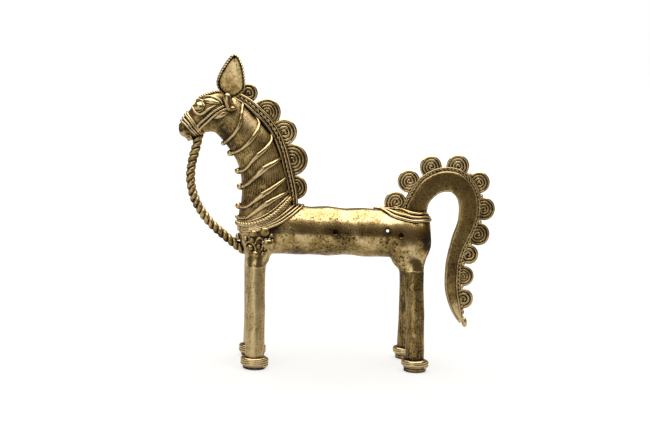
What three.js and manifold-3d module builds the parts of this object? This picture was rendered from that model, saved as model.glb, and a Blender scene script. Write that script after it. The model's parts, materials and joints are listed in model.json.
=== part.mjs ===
// A standing horse in lost-wax brass, about 205 mm long and 196 mm tall.
//
// The founder builds such a horse from wax on a clay core: a tubular body and neck, four rod
// legs, a modelled head, then threads, twisted ropes and flat spirals of wax laid over them.
// Every laid piece is a solid of its own here. Pieces are laid in order, and each one is
// trimmed by the pieces already there, so it seats on them with one small clearance.
//
// Millimetres. +Z up, the horse faces -X, its left side is -Y. While it is built, the height
// is measured from the axis of the body; the finished group stands on z = 0.

import * as THREE from "three";
import { mergeVertices } from "three/addons/utils/BufferGeometryUtils.js";
import Module from "manifold-3d";

const wasm = await Module();
wasm.setup();

// ---------------------------------------------------------------- driving dimensions

const clearance = 0.3; // gap left between two pieces that touch
const seat = clearance + 0.1; // lift of a wire laid on a curved skin

const chestX = -61.5; // front of the body
const bodyLength = 121.7; // chest to rump
const bodyRadius = 15.6;
const bodyAxisHeight = 86; // floor to the axis of the body
const wall = 3; // thickness of the brass over the clay core

const legRadius = 6.1;
const legTopSpread = 8.8; // half the distance between two legs at the belly
const footSpread = 18; // half the distance between two feet
const frontFootInset = 11.1; // chest to the front foot, along the body
const frontLegRake = -1.2; // how far the front leg leans forward at its top
const rearFootInset = 8.2; // rump to the rear foot
const rearLegRake = -1.8;

const footRadius = 8.85; // outside of the wire wound round a foot
const padRadius = 7.15;
const frontPadHeight = 1.2;
const rearPadHeight = 2.2;
const frontFootWire = 2.1;
const rearFootWire = 2.75;
const frontFootTurns = 3;
const rearFootTurns = 2;

const neckThickness = 1; // scales the neck's section
const maneBandDepth = 3.5;
const maneBandWidth = 6.4;
const coilThickness = 2.6;

const tailThickness = 5.6;
const tailRopeRadius = 1.35;

const wireRadius = 1.15; // the threads round the neck
const ropeRadius = 1.4; // the twisted ropes of the collar
const reinRadius = 3.1;
const earRimRadius = 0.95;
const earThickness = 2.2;
const earStemRadius = 1.5;
const earPegRadius = 2.4;
const eyeRadius = 2.9;
const lipRadius = 3.9;
const rosetteRadius = 4.2;
const lidRadius = 0.85;
const strapRadius = 1.2;
const noseBandRadius = 1.1;
const bindingRadius = 1.2; // the wires round the root of the tail

const pinRadius = 1.8; // holes left by the pins that held the core
const slotWidth = 3.2;
const slotLength = 44; // the belly seam, left open for the core

const rumpX = chestX + bodyLength;
const frontFootX = chestX + frontFootInset;
const rearFootX = rumpX - rearFootInset;

// Stations of a limb: [x, y, z, half depth, half width]. Depth lies in the plane of the
// limb's bend, width runs across it.

const bodyStations = [
  [chestX, 0, 0, 0.6 * bodyRadius, 0.6 * bodyRadius],
  [chestX + 2, 0, 0, 0.86 * bodyRadius, 0.86 * bodyRadius],
  [chestX + 7, 0, 0, bodyRadius, bodyRadius],
  [chestX + bodyLength / 2, 0, 0, bodyRadius, bodyRadius],
  [rumpX - 7, 0, 0, bodyRadius, bodyRadius],
  [rumpX - 2, 0, 0, 0.88 * bodyRadius, 0.88 * bodyRadius],
  [rumpX, 0, 0, 0.6 * bodyRadius, 0.6 * bodyRadius],
];

const neckStations = [
  [-46, 0, 2, 14.4, 12.5],
  [-46, 0, 11, 15.1, 13.2],
  [-46, 0, 20, 15.2, 12.6],
  [-48.3, 0, 35, 13.5, 11.6],
  [-51.9, 0, 46, 13.1, 10.8],
  [-57, 0, 55.2, 13, 10.2],
  [-63.5, 0, 63, 12.6, 9.6],
  [-70.5, 0, 70, 12.2, 9],
  [-75, 0, 74.5, 10.5, 8.2],
].map(([x, y, z, depth, width]) => [x, y, z, depth * neckThickness, width * neckThickness]);

const headStations = [
  [-72.5, 0, 75.5, 9.5, 8],
  [-78, 0, 75, 11.2, 8.8],
  [-84, 0, 72.5, 11.3, 8.6],
  [-89.5, 0, 69.5, 9.8, 7.6],
  [-94.5, 0, 65.2, 8.2, 6.4],
  [-97.8, 0, 61.8, 6.6, 5.6],
  [-100, 0, 59.6, 3.6, 3.4],
];

// The tail, from inside the rump, over the arch and down to its tip. x is from the rump.
const tailStations = [
  [-11.2, 0, 4, 7.4],
  [-10.1, 0, 15.4, 7.8],
  [-7.8, 0, 22.5, 7],
  [-3.6, 0, 29, 7.3],
  [2.1, 0, 33.4, 7.4],
  [8.3, 0, 35.3, 7.6],
  [14.9, 0, 34.8, 7.5],
  [19.9, 0, 31.8, 7.4],
  [23.7, 0, 27, 7.2],
  [25.6, 0, 20.8, 7],
  [25.8, 0, 12.5, 6.8],
  [24.4, 0, 5.6, 6.3],
  [21.4, 0, -2.6, 5.9],
  [19.1, 0, -10, 5.3],
  [17.4, 0, -18.5, 5],
  [17.1, 0, -28.7, 5],
  [17.7, 0, -36.3, 4.9],
  [20.6, 0, -47, 4.2],
  [22.6, 0, -52.6, 3.2],
  [24.6, 0, -57.2, 1.9],
].map(([x, y, z, depth]) => [rumpX + x, y, z, depth, tailThickness / 2]);
const tailRopeSpan = [0.07, 0.93]; // where the rope starts and ends along the tail

// The rein, a rigid twisted rope from the mouth to the chest.
const reinPoints = [
  [-88.8, 0, 62],
  [-90.9, 0, 50.9],
  [-93.5, 0, 39],
  [-93.6, 0, 29],
  [-91, 0, 19],
  [-84, 0, 7.3],
  [-74, 0, -2.4],
  [-58, 0, -14.4],
];

// Each thread round the neck: where it crosses the throat and the crest, as shares of the neck.
const neckThreads = [
  [0.86, 0.985],
  [0.745, 0.86],
  [0.56, 0.745],
  [0.4, 0.56],
  [0.29, 0.43],
  [0.16, 0.33],
];

// Flat spirals: place along the neck's crest or the tail, centre beyond its edge, radius.
const maneCoils = [
  [0.934, 3.9, 5.7],
  [0.715, 3.2, 8.2],
  [0.57, 4.8, 7.8],
  [0.418, 3, 9.5],
  [0.29, 0.8, 7.2],
];
const tailCoils = [
  [0.061, 5.5, 6.9],
  [0.141, 4.5, 6.8],
  [0.221, 2.8, 6.8],
  [0.311, 2.2, 6.9],
  [0.406, 2.7, 6.6],
  [0.499, 2.2, 7],
  [0.592, 2.8, 7],
  [0.69, 2.8, 6],
  [0.782, 2, 6.3],
  [0.878, 1.1, 6.1],
];

// ---------------------------------------------------------------- shape helpers

const side = new THREE.Vector3(0, 1, 0);
const trimTolerance = 0.02; // slivers thinner than this are merged into the face beside them

/** Turns a closed geometry into a solid, with its faces outward. */
function solid(geometry) {
  const bare = geometry.index ? geometry : mergeVertices(geometry);
  bare.deleteAttribute("normal");
  bare.deleteAttribute("uv");
  const merged = mergeVertices(bare, 1e-4);
  const vertProperties = new Float32Array(merged.attributes.position.array);
  const index = Array.from(merged.index.array);
  const corner = (i) => new THREE.Vector3().fromArray(vertProperties, 3 * i);
  const faces = [];
  let volume = 0;
  for (let i = 0; i < index.length; i += 3) {
    const [a, b, c] = index.slice(i, i + 3);
    if (a === b || b === c || c === a) continue;
    faces.push([a, b, c]);
    volume += corner(a).dot(corner(b).cross(corner(c)));
  }
  const outward = faces.map(([a, b, c]) => (volume < 0 ? [a, c, b] : [a, b, c]));
  const triVerts = new Uint32Array(outward.flat());
  return new wasm.Manifold(new wasm.Mesh({ numProp: 3, vertProperties, triVerts }));
}

/** Turns a solid back into a geometry. */
function geometryOf(manifold) {
  const mesh = manifold.getMesh();
  const geometry = new THREE.BufferGeometry();
  const positions = new Float32Array(mesh.vertProperties);
  geometry.setAttribute("position", new THREE.BufferAttribute(positions, 3));
  geometry.setIndex(new THREE.BufferAttribute(new Uint32Array(mesh.triVerts), 1));
  geometry.computeVertexNormals();
  return geometry;
}

/** The body of a solid without the crumbs that trimming leaves beside it. */
function mainBody(manifold) {
  const bodies = manifold.simplify(trimTolerance).decompose();
  bodies.sort((a, b) => b.volume() - a.volume());
  return bodies[0];
}

const vector = (point) => new THREE.Vector3(...point);

function curveThrough(points, closed = false) {
  return new THREE.CatmullRomCurve3(points.map(vector), closed, "centripetal");
}

/** A limb: a curve through its stations and an oval section that changes along it. */
function limb(stations) {
  const path = curveThrough(stations);
  const last = stations.length - 1;

  function section(t) {
    const place = THREE.MathUtils.clamp(t, 0, 1) * last;
    const i = Math.min(Math.floor(place), last - 1);
    const [, , , depth, width] = stations[i];
    const [, , , nextDepth, nextWidth] = stations[i + 1];
    return {
      depth: THREE.MathUtils.lerp(depth, nextDepth, place - i),
      width: THREE.MathUtils.lerp(width, nextWidth, place - i),
    };
  }

  function frame(t) {
    const along = path.getTangent(t);
    const across = side.clone().addScaledVector(along, -side.dot(along)).normalize();
    return { along, across, out: across.clone().cross(along) };
  }

  /** A point of the skin: angle 0 is the outer side of the bend, 90 degrees the side +Y. */
  function point(t, angle, lift = 0) {
    const { depth, width } = section(t);
    const { across, out } = frame(t);
    return path
      .getPoint(t)
      .addScaledVector(out, (depth + lift) * Math.cos(angle))
      .addScaledVector(across, (width + lift) * Math.sin(angle));
  }

  /** The limb as geometry, with its skin and its two ends moved out by grow. */
  function geometry(grow, sides, steps) {
    const result = new THREE.CylinderGeometry(1, 1, 1, sides, steps);
    const positions = result.attributes.position;
    for (let i = 0; i < positions.count; i += 1) {
      const share = positions.getY(i) + 0.5;
      const { depth, width } = section(share);
      const { along, across, out } = frame(share);
      const moved = path
        .getPoint(share)
        .addScaledVector(across, positions.getX(i) * (width + grow))
        .addScaledVector(out, positions.getZ(i) * (depth + grow))
        .addScaledVector(along, grow * (2 * share - 1));
      positions.setXYZ(i, moved.x, moved.y, moved.z);
    }
    return result;
  }

  return { path, section, frame, point, geometry };
}

/** A round wire through points, with flat ends. grow moves its skin and its two ends out. */
function wire(points, radius, grow, { sides = 6, steps = 24 } = {}) {
  const line = points.map(vector);
  const [first, second] = line;
  const [beforeLast, last] = line.slice(-2);
  first.addScaledVector(first.clone().sub(second).normalize(), grow);
  last.addScaledVector(last.clone().sub(beforeLast).normalize(), grow);
  const extrudePath = new THREE.CatmullRomCurve3(line, false, "centripetal");
  const ring = new THREE.Shape();
  for (let i = 0; i < sides; i += 1) {
    const angle = (2 * Math.PI * i) / sides;
    const corner = [(radius + grow) * Math.cos(angle), (radius + grow) * Math.sin(angle)];
    if (i === 0) ring.moveTo(...corner);
    else ring.lineTo(...corner);
  }
  ring.closePath();
  return new THREE.ExtrudeGeometry(ring, { steps, extrudePath });
}

/** A wire closed on itself. Flatness widens its section along the given axis. */
function loop(points, radius, axis, { sides = 6, steps = 32, flatness = 1 } = {}) {
  const path = curveThrough(points, true);
  const geometry = new THREE.TorusGeometry(1, 0.5, sides, steps);
  const positions = geometry.attributes.position;
  for (let i = 0; i < positions.count; i += 1) {
    const turn = Math.atan2(positions.getY(i), positions.getX(i)) / (2 * Math.PI);
    const share = Math.round((turn + 1) * steps) % steps / steps;
    const outward = (Math.hypot(positions.getX(i), positions.getY(i)) - 1) * 2;
    const along = path.getTangent(share);
    const level = axis.clone().addScaledVector(along, -axis.dot(along)).normalize();
    const out = along.clone().cross(level);
    const moved = path
      .getPoint(share)
      .addScaledVector(out, outward * radius)
      .addScaledVector(level, positions.getZ(i) * 2 * radius * flatness);
    positions.setXYZ(i, moved.x, moved.y, moved.z);
  }
  return geometry;
}

/** The solid of a flat spiral: a disc with its axis along Y and a bevelled rim. */
function coil(centre, radius, grow) {
  const face = coilThickness / 2 + grow;
  const rim = radius + grow;
  const bevel = 0.9;
  const profile = [
    [0, -face],
    [rim - bevel, -face],
    [rim, bevel - face],
    [rim, face - bevel],
    [rim - bevel, face],
    [0, face],
  ].map(([r, y]) => new THREE.Vector2(r, y));
  return new THREE.LatheGeometry(profile, 16).translate(centre.x, centre.y, centre.z);
}

/** The turns of wire wound round a foot, standing on the given height. The leg bores it. */
function footWinding(x, y, base, turns, thickness, grow) {
  const valley = footRadius - 0.7 + grow;
  const profile = [new THREE.Vector2(0, base - grow), new THREE.Vector2(valley, base - grow)];
  for (let i = 0; i < turns; i += 1) {
    profile.push(new THREE.Vector2(footRadius + grow, base + (i + 0.5) * thickness));
    profile.push(new THREE.Vector2(valley, base + (i + 1) * thickness + (i === turns - 1 ? grow : 0)));
  }
  profile.push(new THREE.Vector2(0, base + turns * thickness + grow));
  return new THREE.LatheGeometry(profile, 16).rotateX(Math.PI / 2).translate(x, y, 0);
}

const ball = ({ x, y, z }, radius) => new THREE.SphereGeometry(radius, 10, 7).translate(x, y, z);

function joined(geometries) {
  return geometries.map(solid).reduce((whole, next) => whole.add(next));
}

// ---------------------------------------------------------------- the main forms

const body = limb(bodyStations);
const neck = limb(neckStations);
const head = limb(headStations);
const tailStrip = limb(tailStations);

const bodySolid = (grow) => solid(body.geometry(grow, 20, bodyStations.length - 1));
const neckSolid = (grow) => solid(neck.geometry(grow, 16, neckStations.length - 1));

/** Head, with the lower lip under the muzzle. */
const lip = new THREE.Vector3(-95.2, 0, 57.6);
const headSolid = (grow) =>
  joined([head.geometry(grow, 12, headStations.length - 1), ball(lip, lipRadius + grow)]);

const skinMeshes = [body.geometry(0, 40, 40), neck.geometry(0, 40, 32), head.geometry(0, 40, 24)].map(
  (geometry) => new THREE.Mesh(geometry, new THREE.MeshBasicMaterial({ side: THREE.DoubleSide })),
);

/** The point of the skin that lies at x, z on the left side, moved out by lift. */
function onSkin(x, z, lift = 0) {
  const ray = new THREE.Raycaster(new THREE.Vector3(x, -100, z), side);
  const [hit] = ray.intersectObjects(skinMeshes);
  return [x, (hit ? hit.point.y : 0) - lift, z];
}

const mirrored = ([x, y, z]) => [x, -y, z];

/** A loop over both sides of the skin: its two ends lie on the middle plane. */
function skinLoop(first, sidePoints, last, lift) {
  const left = sidePoints.map(([x, z]) => onSkin(x, z, lift));
  const right = left.map(mirrored).reverse();
  return [first, ...left, last, ...right];
}

// ---------------------------------------------------------------- laying the pieces

const finishes = {
  polished: { color: 0xb89b5a, roughness: 0.32, metalness: 1 },
  aged: { color: 0x8d7840, roughness: 0.48, metalness: 1 },
  clay: { color: 0x6e5a48, roughness: 0.95, metalness: 0 },
};

const horse = new THREE.Group();
const laid = [];

function show(name, manifold, finish) {
  const mesh = new THREE.Mesh(geometryOf(manifold), new THREE.MeshStandardMaterial(finishes[finish]));
  mesh.name = name;
  horse.add(mesh);
}

const boxOf = (manifold) => {
  const { min, max } = manifold.boundingBox();
  return new THREE.Box3(vector(min), vector(max));
};

/**
 * Lays one piece: make(grow) gives its solid. It is trimmed by all the pieces laid before it,
 * and hollow, if given, is cut out of it.
 */
function lay(name, finish, make, hollow = null) {
  let piece = make(0);
  const box = boxOf(piece);
  for (const earlier of laid) {
    if (box.intersectsBox(earlier.box)) piece = piece.subtract(earlier.grown);
  }
  if (hollow) piece = piece.subtract(hollow);
  const grown = make(clearance);
  laid.push({ grown, box: boxOf(grown) });
  show(name, mainBody(piece), finish);
}

// The clay core fills the body and the neck. Pins held it while the metal was poured: one ran
// right through, two stopped in the clay. The seam under the belly shows the clay.
const throughPin = { x: rumpX - 29.4, z: 3.3, lean: 8.6, drop: 7.5 };
const blindPins = [
  { x: chestX + 59.3, z: 1.4 },
  { x: rumpX - 20.3, z: 0.6 },
];

function pinHole({ x, z, lean = 0, drop = 0 }, length) {
  const hole = new THREE.CylinderGeometry(pinRadius, pinRadius, length, 12);
  hole.rotateX(THREE.MathUtils.degToRad(-drop));
  hole.rotateZ(THREE.MathUtils.degToRad(-lean));
  return hole.translate(x, -bodyRadius, z);
}

const cavity = bodySolid(-wall).add(neckSolid(-wall));
const core = bodySolid(-wall - clearance).add(neckSolid(-wall - clearance));
const through = solid(pinHole(throughPin, 5 * bodyRadius));
const seam = solid(
  new THREE.BoxGeometry(slotLength, slotWidth, 2 * wall)
    .translate(chestX + bodyLength / 2, 0, -bodyRadius),
);
const blind = joined(blindPins.map((pin) => pinHole(pin, 2 * wall + 2)));

lay("torso_shell", "polished", bodySolid, cavity.add(through).add(seam).add(blind));
show("clay_core", mainBody(core.subtract(through)), "clay");
lay("neck_shell", "aged", neckSolid, cavity);
lay("head", "polished", headSolid);

// ---------------------------------------------------------------- legs and feet

const frontLeg = {
  x: frontFootX,
  rake: frontLegRake,
  pad: frontPadHeight,
  wire: frontFootWire,
  turns: frontFootTurns,
};
const rearLeg = {
  x: rearFootX,
  rake: rearLegRake,
  pad: rearPadHeight,
  wire: rearFootWire,
  turns: rearFootTurns,
};
const legs = [
  { place: "front_left", y: -1, ...frontLeg },
  { place: "front_right", y: 1, ...frontLeg },
  { place: "rear_left", y: -1, ...rearLeg },
  { place: "rear_right", y: 1, ...rearLeg },
];

for (const { place, x, y, rake, pad, wire: thickness, turns } of legs) {
  const footY = y * footSpread;
  const topY = y * legTopSpread;
  const windingTop = pad + clearance + turns * thickness;
  const leg = limb([
    [x + rake, topY, -0.5 * bodyRadius, legRadius, legRadius],
    [x + rake, topY, -bodyRadius - 2, legRadius, legRadius],
    [x, footY, windingTop - bodyAxisHeight, legRadius, legRadius],
    [x, footY, pad + clearance - bodyAxisHeight, legRadius, legRadius],
  ]);
  lay(`foot_pad_${place}`, "aged", (grow) =>
    solid(
      new THREE.CylinderGeometry(padRadius + grow, padRadius + grow, pad + 2 * grow, 20)
        .rotateX(Math.PI / 2)
        .translate(x, footY, pad / 2 - bodyAxisHeight),
    ),
  );
  lay(`leg_${place}`, "polished", (grow) => solid(leg.geometry(grow, 12, 3)));
  lay(`foot_winding_${place}`, "polished", (grow) =>
    solid(footWinding(x, footY, pad + clearance - bodyAxisHeight, turns, thickness, grow)),
  );
}

// ---------------------------------------------------------------- collar and mane

const crest = 0;
const throat = Math.PI;

/** The band along the crest, a flat strip from the withers to the poll. */
const maneBand = limb(
  Array.from({ length: 9 }, (_, i) => {
    const share = THREE.MathUtils.lerp(0.19, 0.985, i / 8);
    const place = neck.point(share, crest, clearance + maneBandDepth / 2);
    return [...place.toArray(), maneBandDepth / 2, maneBandWidth / 2];
  }),
);
lay("mane_band", "aged", (grow) => solid(maneBand.geometry(grow, 8, 8)));

const collarRope = skinLoop(
  [chestX - 1.6, 0, 3.6],
  [
    [-60.2, 4.2],
    [-56.5, 4.4],
    [-49.4, 6.6],
    [-41.5, 11.2],
    [-36.6, 15.6],
    [-32.6, 19.6],
  ],
  [-26.4, 0, 21.8],
  ropeRadius + seat,
);
const collarBand = skinLoop(
  [-58, 0, 0.4],
  [
    [-55.5, 1],
    [-48, 3],
    [-41, 6.2],
    [-35.6, 9.8],
    [-30, 14],
  ],
  [-23.6, 0, 17.6],
  ropeRadius + seat,
);
const upright = new THREE.Vector3(-0.45, 0, 0.9).normalize();
lay("collar_rope", "aged", (grow) =>
  solid(loop(collarRope, ropeRadius + grow, upright, { steps: 24 })),
);
lay("collar_band", "polished", (grow) =>
  solid(loop(collarBand, ropeRadius + grow, upright, { steps: 24, flatness: 1.35 })),
);

neckThreads.forEach(([throatShare, crestShare], i) => {
  const points = [];
  for (let step = -8; step <= 8; step += 1) {
    const turn = step / 8;
    const share = THREE.MathUtils.lerp(throatShare, crestShare, Math.abs(turn) ** 1.3);
    points.push(neck.point(share, throat + turn * 0.86 * Math.PI, wireRadius + seat).toArray());
  }
  lay(`neck_thread_${i + 1}`, "polished", (grow) => solid(wire(points, wireRadius, grow, { steps: 18 })));
});

maneCoils.forEach(([share, offset, radius], i) => {
  const centre = neck.point(share, crest, clearance + maneBandDepth + offset);
  lay(`mane_coil_${i + 1}`, "aged", (grow) => solid(coil(centre, radius, grow)));
});

// ---------------------------------------------------------------- tail

const tailRim = (share, lift) => tailStrip.point(share, Math.PI, lift);

/** Half the width of the edge that the plate of the tail leaves to the rope. */
function ropeEdge(share) {
  const [, end] = tailRopeSpan;
  return (tailRopeRadius + clearance / 2) * THREE.MathUtils.clamp((end + 0.03 - share) / 0.03, 0, 1);
}

const tailPlate = limb(
  tailStations.map(([, , , depth, width], i) => {
    const share = i / (tailStations.length - 1);
    const edge = ropeEdge(share);
    return [...tailRim(share, -depth - edge).toArray(), depth - edge, width];
  }),
);
lay("tail", "polished", (grow) => solid(tailPlate.geometry(grow, 10, tailStations.length - 1)));

const ropeRun = Array.from({ length: 20 }, (_, i) => {
  const share = THREE.MathUtils.lerp(...tailRopeSpan, i / 19);
  return tailRim(share, -tailRopeRadius).toArray();
});
lay("tail_rope", "aged", (grow) => solid(wire(ropeRun, tailRopeRadius, grow, { steps: 26 })));

const bindingPoints = skinLoop(
  [rumpX - 34.6, 0, bodyRadius + 1.6],
  [
    [rumpX - 28, 14.2],
    [rumpX - 20.8, 11.4],
    [rumpX - 11.1, 9.7],
    [rumpX - 4, 9],
  ],
  [rumpX + 1.6, 0, 8.6],
  bindingRadius + seat,
);
const bindingAxis = new THREE.Vector3(0.2, 0, 1).normalize();
lay("rump_binding", "polished", (grow) =>
  solid(loop(bindingPoints, bindingRadius + grow, bindingAxis, { steps: 24, flatness: 1.9 })),
);

tailCoils.forEach(([share, offset, radius], i) => {
  const centre = tailRim(share, offset);
  lay(`tail_coil_${i + 1}`, "aged", (grow) => solid(coil(centre, radius, grow)));
});

// ---------------------------------------------------------------- head harness, eyes, ears, rein

lay("rein_rope", "polished", (grow) =>
  solid(wire(reinPoints, reinRadius, grow, { sides: 8, steps: 16 })),
);

const noseShare = 0.64;
const noseBand = Array.from({ length: 12 }, (_, i) => {
  const angle = (i / 12) * 2 * Math.PI;
  return head.point(noseShare, angle, noseBandRadius + seat).toArray();
});
const headAxis = head.frame(noseShare).along;
lay("nose_band", "polished", (grow) =>
  solid(loop(noseBand, noseBandRadius + grow, headAxis, { steps: 20, flatness: 1.7 })),
);

const forelock = [0.08, 0.18, 0.28, 0.36].map((share) =>
  head.point(share, crest, ropeRadius + seat).toArray(),
);
lay("forelock_rope", "aged", (grow) =>
  solid(wire(forelock, ropeRadius, grow, { sides: 8, steps: 10 })),
);

const earBase = { x: -72.4, z: 86.2 };
const earOutline = [
  [1, -0.4],
  [-4.2, 2.2],
  [-5.6, 6.8],
  [-2.4, 13.6],
  [0.6, 19],
  [2.6, 22.4],
  [4.6, 21.6],
  [6, 17.4],
  [8.4, 9.2],
  [7.6, 3.6],
];

for (const [place, hand] of [["left", -1], ["right", 1]]) {
  const eye = vector(onSkin(-89.4, 78.1));
  eye.y *= -hand;
  lay(`eye_${place}`, "polished", (grow) => solid(ball(eye, eyeRadius + grow)));

  const lids = [
    [-93.2, 77.2],
    [-91, 81.4],
    [-87.2, 81.8],
    [-82.4, 80.2],
    [-78.6, 80.4],
    [-82, 77.4],
    [-87, 74.2],
    [-91.2, 74.2],
  ].map(([x, z]) => onSkin(x, z, lidRadius + seat));
  const lidLoop = lids.map(([x, y, z]) => [x, -hand * y, z]);
  lay(`eyelid_${place}`, "polished", (grow) =>
    solid(loop(lidLoop, lidRadius + grow, side, { sides: 5, steps: 18 })),
  );

  const strap = [
    [-91.6, 60.6],
    [-86.6, 65],
    [-81.2, 69.6],
    [-75.8, 74],
    [-72.4, 77.2],
  ].map(([x, z]) => onSkin(x, z, strapRadius + seat));
  const strapPoints = strap.map(([x, y, z]) => [x, -hand * y, z]);
  lay(`cheek_strap_${place}`, "aged", (grow) =>
    solid(wire(strapPoints, strapRadius, grow, { steps: 9 })),
  );

  const earY = hand * (Math.abs(onSkin(-73, 80)[1]) + clearance + earThickness / 2);
  const rim = earOutline.map(([x, z]) => [earBase.x + x, earY, earBase.z + z]);
  lay(`ear_rim_${place}`, "aged", (grow) =>
    solid(loop(rim, earRimRadius + grow, side, { sides: 5, steps: 24 })),
  );

  lay(`ear_${place}`, "polished", (grow) => {
    const outline = curveThrough(rim, true).getPoints(24);
    const leaf = new THREE.Shape(outline.map(({ x, z }) => new THREE.Vector2(x, z)));
    const depth = earThickness + 2 * grow;
    const blade = new THREE.ExtrudeGeometry(leaf, { depth, bevelEnabled: false });
    blade.rotateX(Math.PI / 2).translate(0, earY + earThickness / 2 + grow, 0);
    const stem = [
      [earBase.x + 0.4, earY, earBase.z + 2],
      [earBase.x - 0.8, earY, earBase.z - 4],
      [earBase.x - 0.6, earY * 0.98, earBase.z - 9],
    ];
    const rimGroove = solid(loop(rim, earRimRadius + clearance, side, { sides: 5, steps: 24 }));
    return solid(blade)
      .subtract(rimGroove)
      .add(solid(wire(stem, earStemRadius, grow, { steps: 3 })))
      .add(solid(ball(vector(stem[2]), earPegRadius + grow)));
  });
}

// ---------------------------------------------------------------- chest ornaments

for (const [place, hand] of [["left", -1], ["right", 1]]) {
  const outward = ([x, y, z]) => new THREE.Vector3(x, -hand * y, z);
  lay(`chest_rosette_${place}`, "aged", (grow) =>
    solid(ball(outward(onSkin(-43.6, -6.5)), rosetteRadius + grow)),
  );

  const garland = [
    [-53.4, -2.2, 2.7],
    [-54.6, -6.4, 2.8],
    [-54.2, -10.4, 2.6],
    [-51, -13.2, 2.4],
  ];
  lay(`chest_garland_${place}`, "aged", (grow) =>
    joined(garland.map(([x, z, radius]) => ball(outward(onSkin(x, z)), radius + grow))),
  );
}

// The horse stands on z = 0, with the middle of its length and width over the origin.
horse.position.z = bodyAxisHeight;
horse.updateMatrixWorld(true);
const extent = new THREE.Box3().setFromObject(horse, true);
const centre = extent.getCenter(new THREE.Vector3());
horse.position.x -= centre.x;
horse.position.y -= centre.y;
horse.position.z -= extent.min.z;
horse.updateMatrixWorld(true);

export default horse;
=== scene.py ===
"""A small standing horse of cast brass, in the way a wax-thread caster makes one.

The body, neck, head and legs are one soft casting over a clay core. Everything raised on it, such
as the ropes, spirals, bands and leaves, was wax thread laid on the wax body, so each is modelled as
thread: a line that follows the skin, given the thickness of its wire.
"""

import json
import math

import bpy
import numpy as np
from bpy.props import FloatProperty, FloatVectorProperty, IntProperty, PointerProperty
from mathutils import Matrix, Vector

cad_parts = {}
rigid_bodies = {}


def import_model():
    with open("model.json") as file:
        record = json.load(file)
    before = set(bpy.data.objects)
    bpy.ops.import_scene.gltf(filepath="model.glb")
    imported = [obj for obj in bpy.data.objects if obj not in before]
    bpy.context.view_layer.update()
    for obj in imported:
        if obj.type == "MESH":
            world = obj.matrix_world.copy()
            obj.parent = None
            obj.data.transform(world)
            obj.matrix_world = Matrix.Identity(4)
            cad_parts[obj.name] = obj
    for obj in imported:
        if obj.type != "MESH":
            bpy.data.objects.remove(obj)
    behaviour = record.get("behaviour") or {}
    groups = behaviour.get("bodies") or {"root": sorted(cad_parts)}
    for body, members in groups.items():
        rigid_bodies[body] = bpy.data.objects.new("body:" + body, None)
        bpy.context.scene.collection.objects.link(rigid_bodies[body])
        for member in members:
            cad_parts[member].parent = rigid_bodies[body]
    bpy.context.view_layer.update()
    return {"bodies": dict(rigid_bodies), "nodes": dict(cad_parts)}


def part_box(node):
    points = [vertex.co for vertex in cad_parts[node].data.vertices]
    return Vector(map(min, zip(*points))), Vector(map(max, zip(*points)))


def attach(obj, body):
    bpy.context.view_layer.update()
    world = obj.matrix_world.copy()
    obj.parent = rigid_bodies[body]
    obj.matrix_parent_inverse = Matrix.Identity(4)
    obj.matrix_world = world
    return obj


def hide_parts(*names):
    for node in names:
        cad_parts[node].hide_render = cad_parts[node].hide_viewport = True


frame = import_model()

bl_info = {
    "name": "Cast brass horse",
    "version": (1, 0, 0),
    "blender": (4, 5, 0),
    "location": "3D View > Sidebar > Brass horse",
    "description": "Builds the horse, its threads and ropes of cast brass, and the stage it stands on",
    "category": "Object",
}

MM = 0.001
TORSO_LOW, TORSO_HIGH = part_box("torso_shell")
AXIS_HEIGHT = (TORSO_LOW.z + TORSO_HIGH.z) / 2 / MM
CHEST = TORSO_LOW.x / MM
RUMP = TORSO_HIGH.x / MM
BODY_RADIUS = (TORSO_HIGH.z - TORSO_LOW.z) / 2 / MM
FLOOR = -AXIS_HEIGHT
LEFT, RIGHT = -1, 1
SIDES = {"left": LEFT, "right": RIGHT}

# Millimetres, from the middle of the horse: x towards the tail, z from the axis of the body.
# Stations of a limb are x, y, z, half depth, half width. Depth lies in the plane of the horse.
TORSO = [
    (CHEST - 1, 0, 0, 15, 14.8),
    (CHEST + 15.4, 0, 0, 15.3, 15),
    (-30, 0, 0.2, 15.8, 15.3),
    (-17, 0, 0.1, 15.2, 15.1),
    (-6, 0, 0.3, 15.7, 15.3),
    (6, 0, 0, 15.1, 15),
    (20, 0, -0.2, 15.4, 15.1),
    (34, 0, 0, 15.2, 15),
    (RUMP - 15.6, 0, 0, 15.3, 15),
    (RUMP + 1, 0, -0.4, 14.8, 14.7),
]
NECK = [
    (-46, 0, 2, 14.4, 12.5),
    (-46, 0, 11, 15.1, 13.2),
    (-46, 0, 20, 15.2, 12.6),
    (-48.3, 0, 35, 13.5, 11.6),
    (-51.9, 0, 46, 13.1, 10.8),
    (-57, 0, 55.2, 13, 10.2),
    (-63.5, 0, 63, 12.6, 9.6),
    (-70.5, 0, 70, 12.2, 9),
    (-75, 0, 74.5, 10.5, 8.2),
]
HEAD = [
    (-72.5, 0, 75.3, 8.8, 8),
    (-78, 0, 74.2, 9.7, 8.8),
    (-84, 0, 71.7, 10.4, 8.6),
    (-89.1, 0, 68.7, 8.7, 7.6),
    (-94, 0, 64.8, 7.3, 6.4),
    (-96.8, 0, 61.7, 5.2, 5),
    (-98.2, 0, 60.4, 3.2, 3.2),
]
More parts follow.
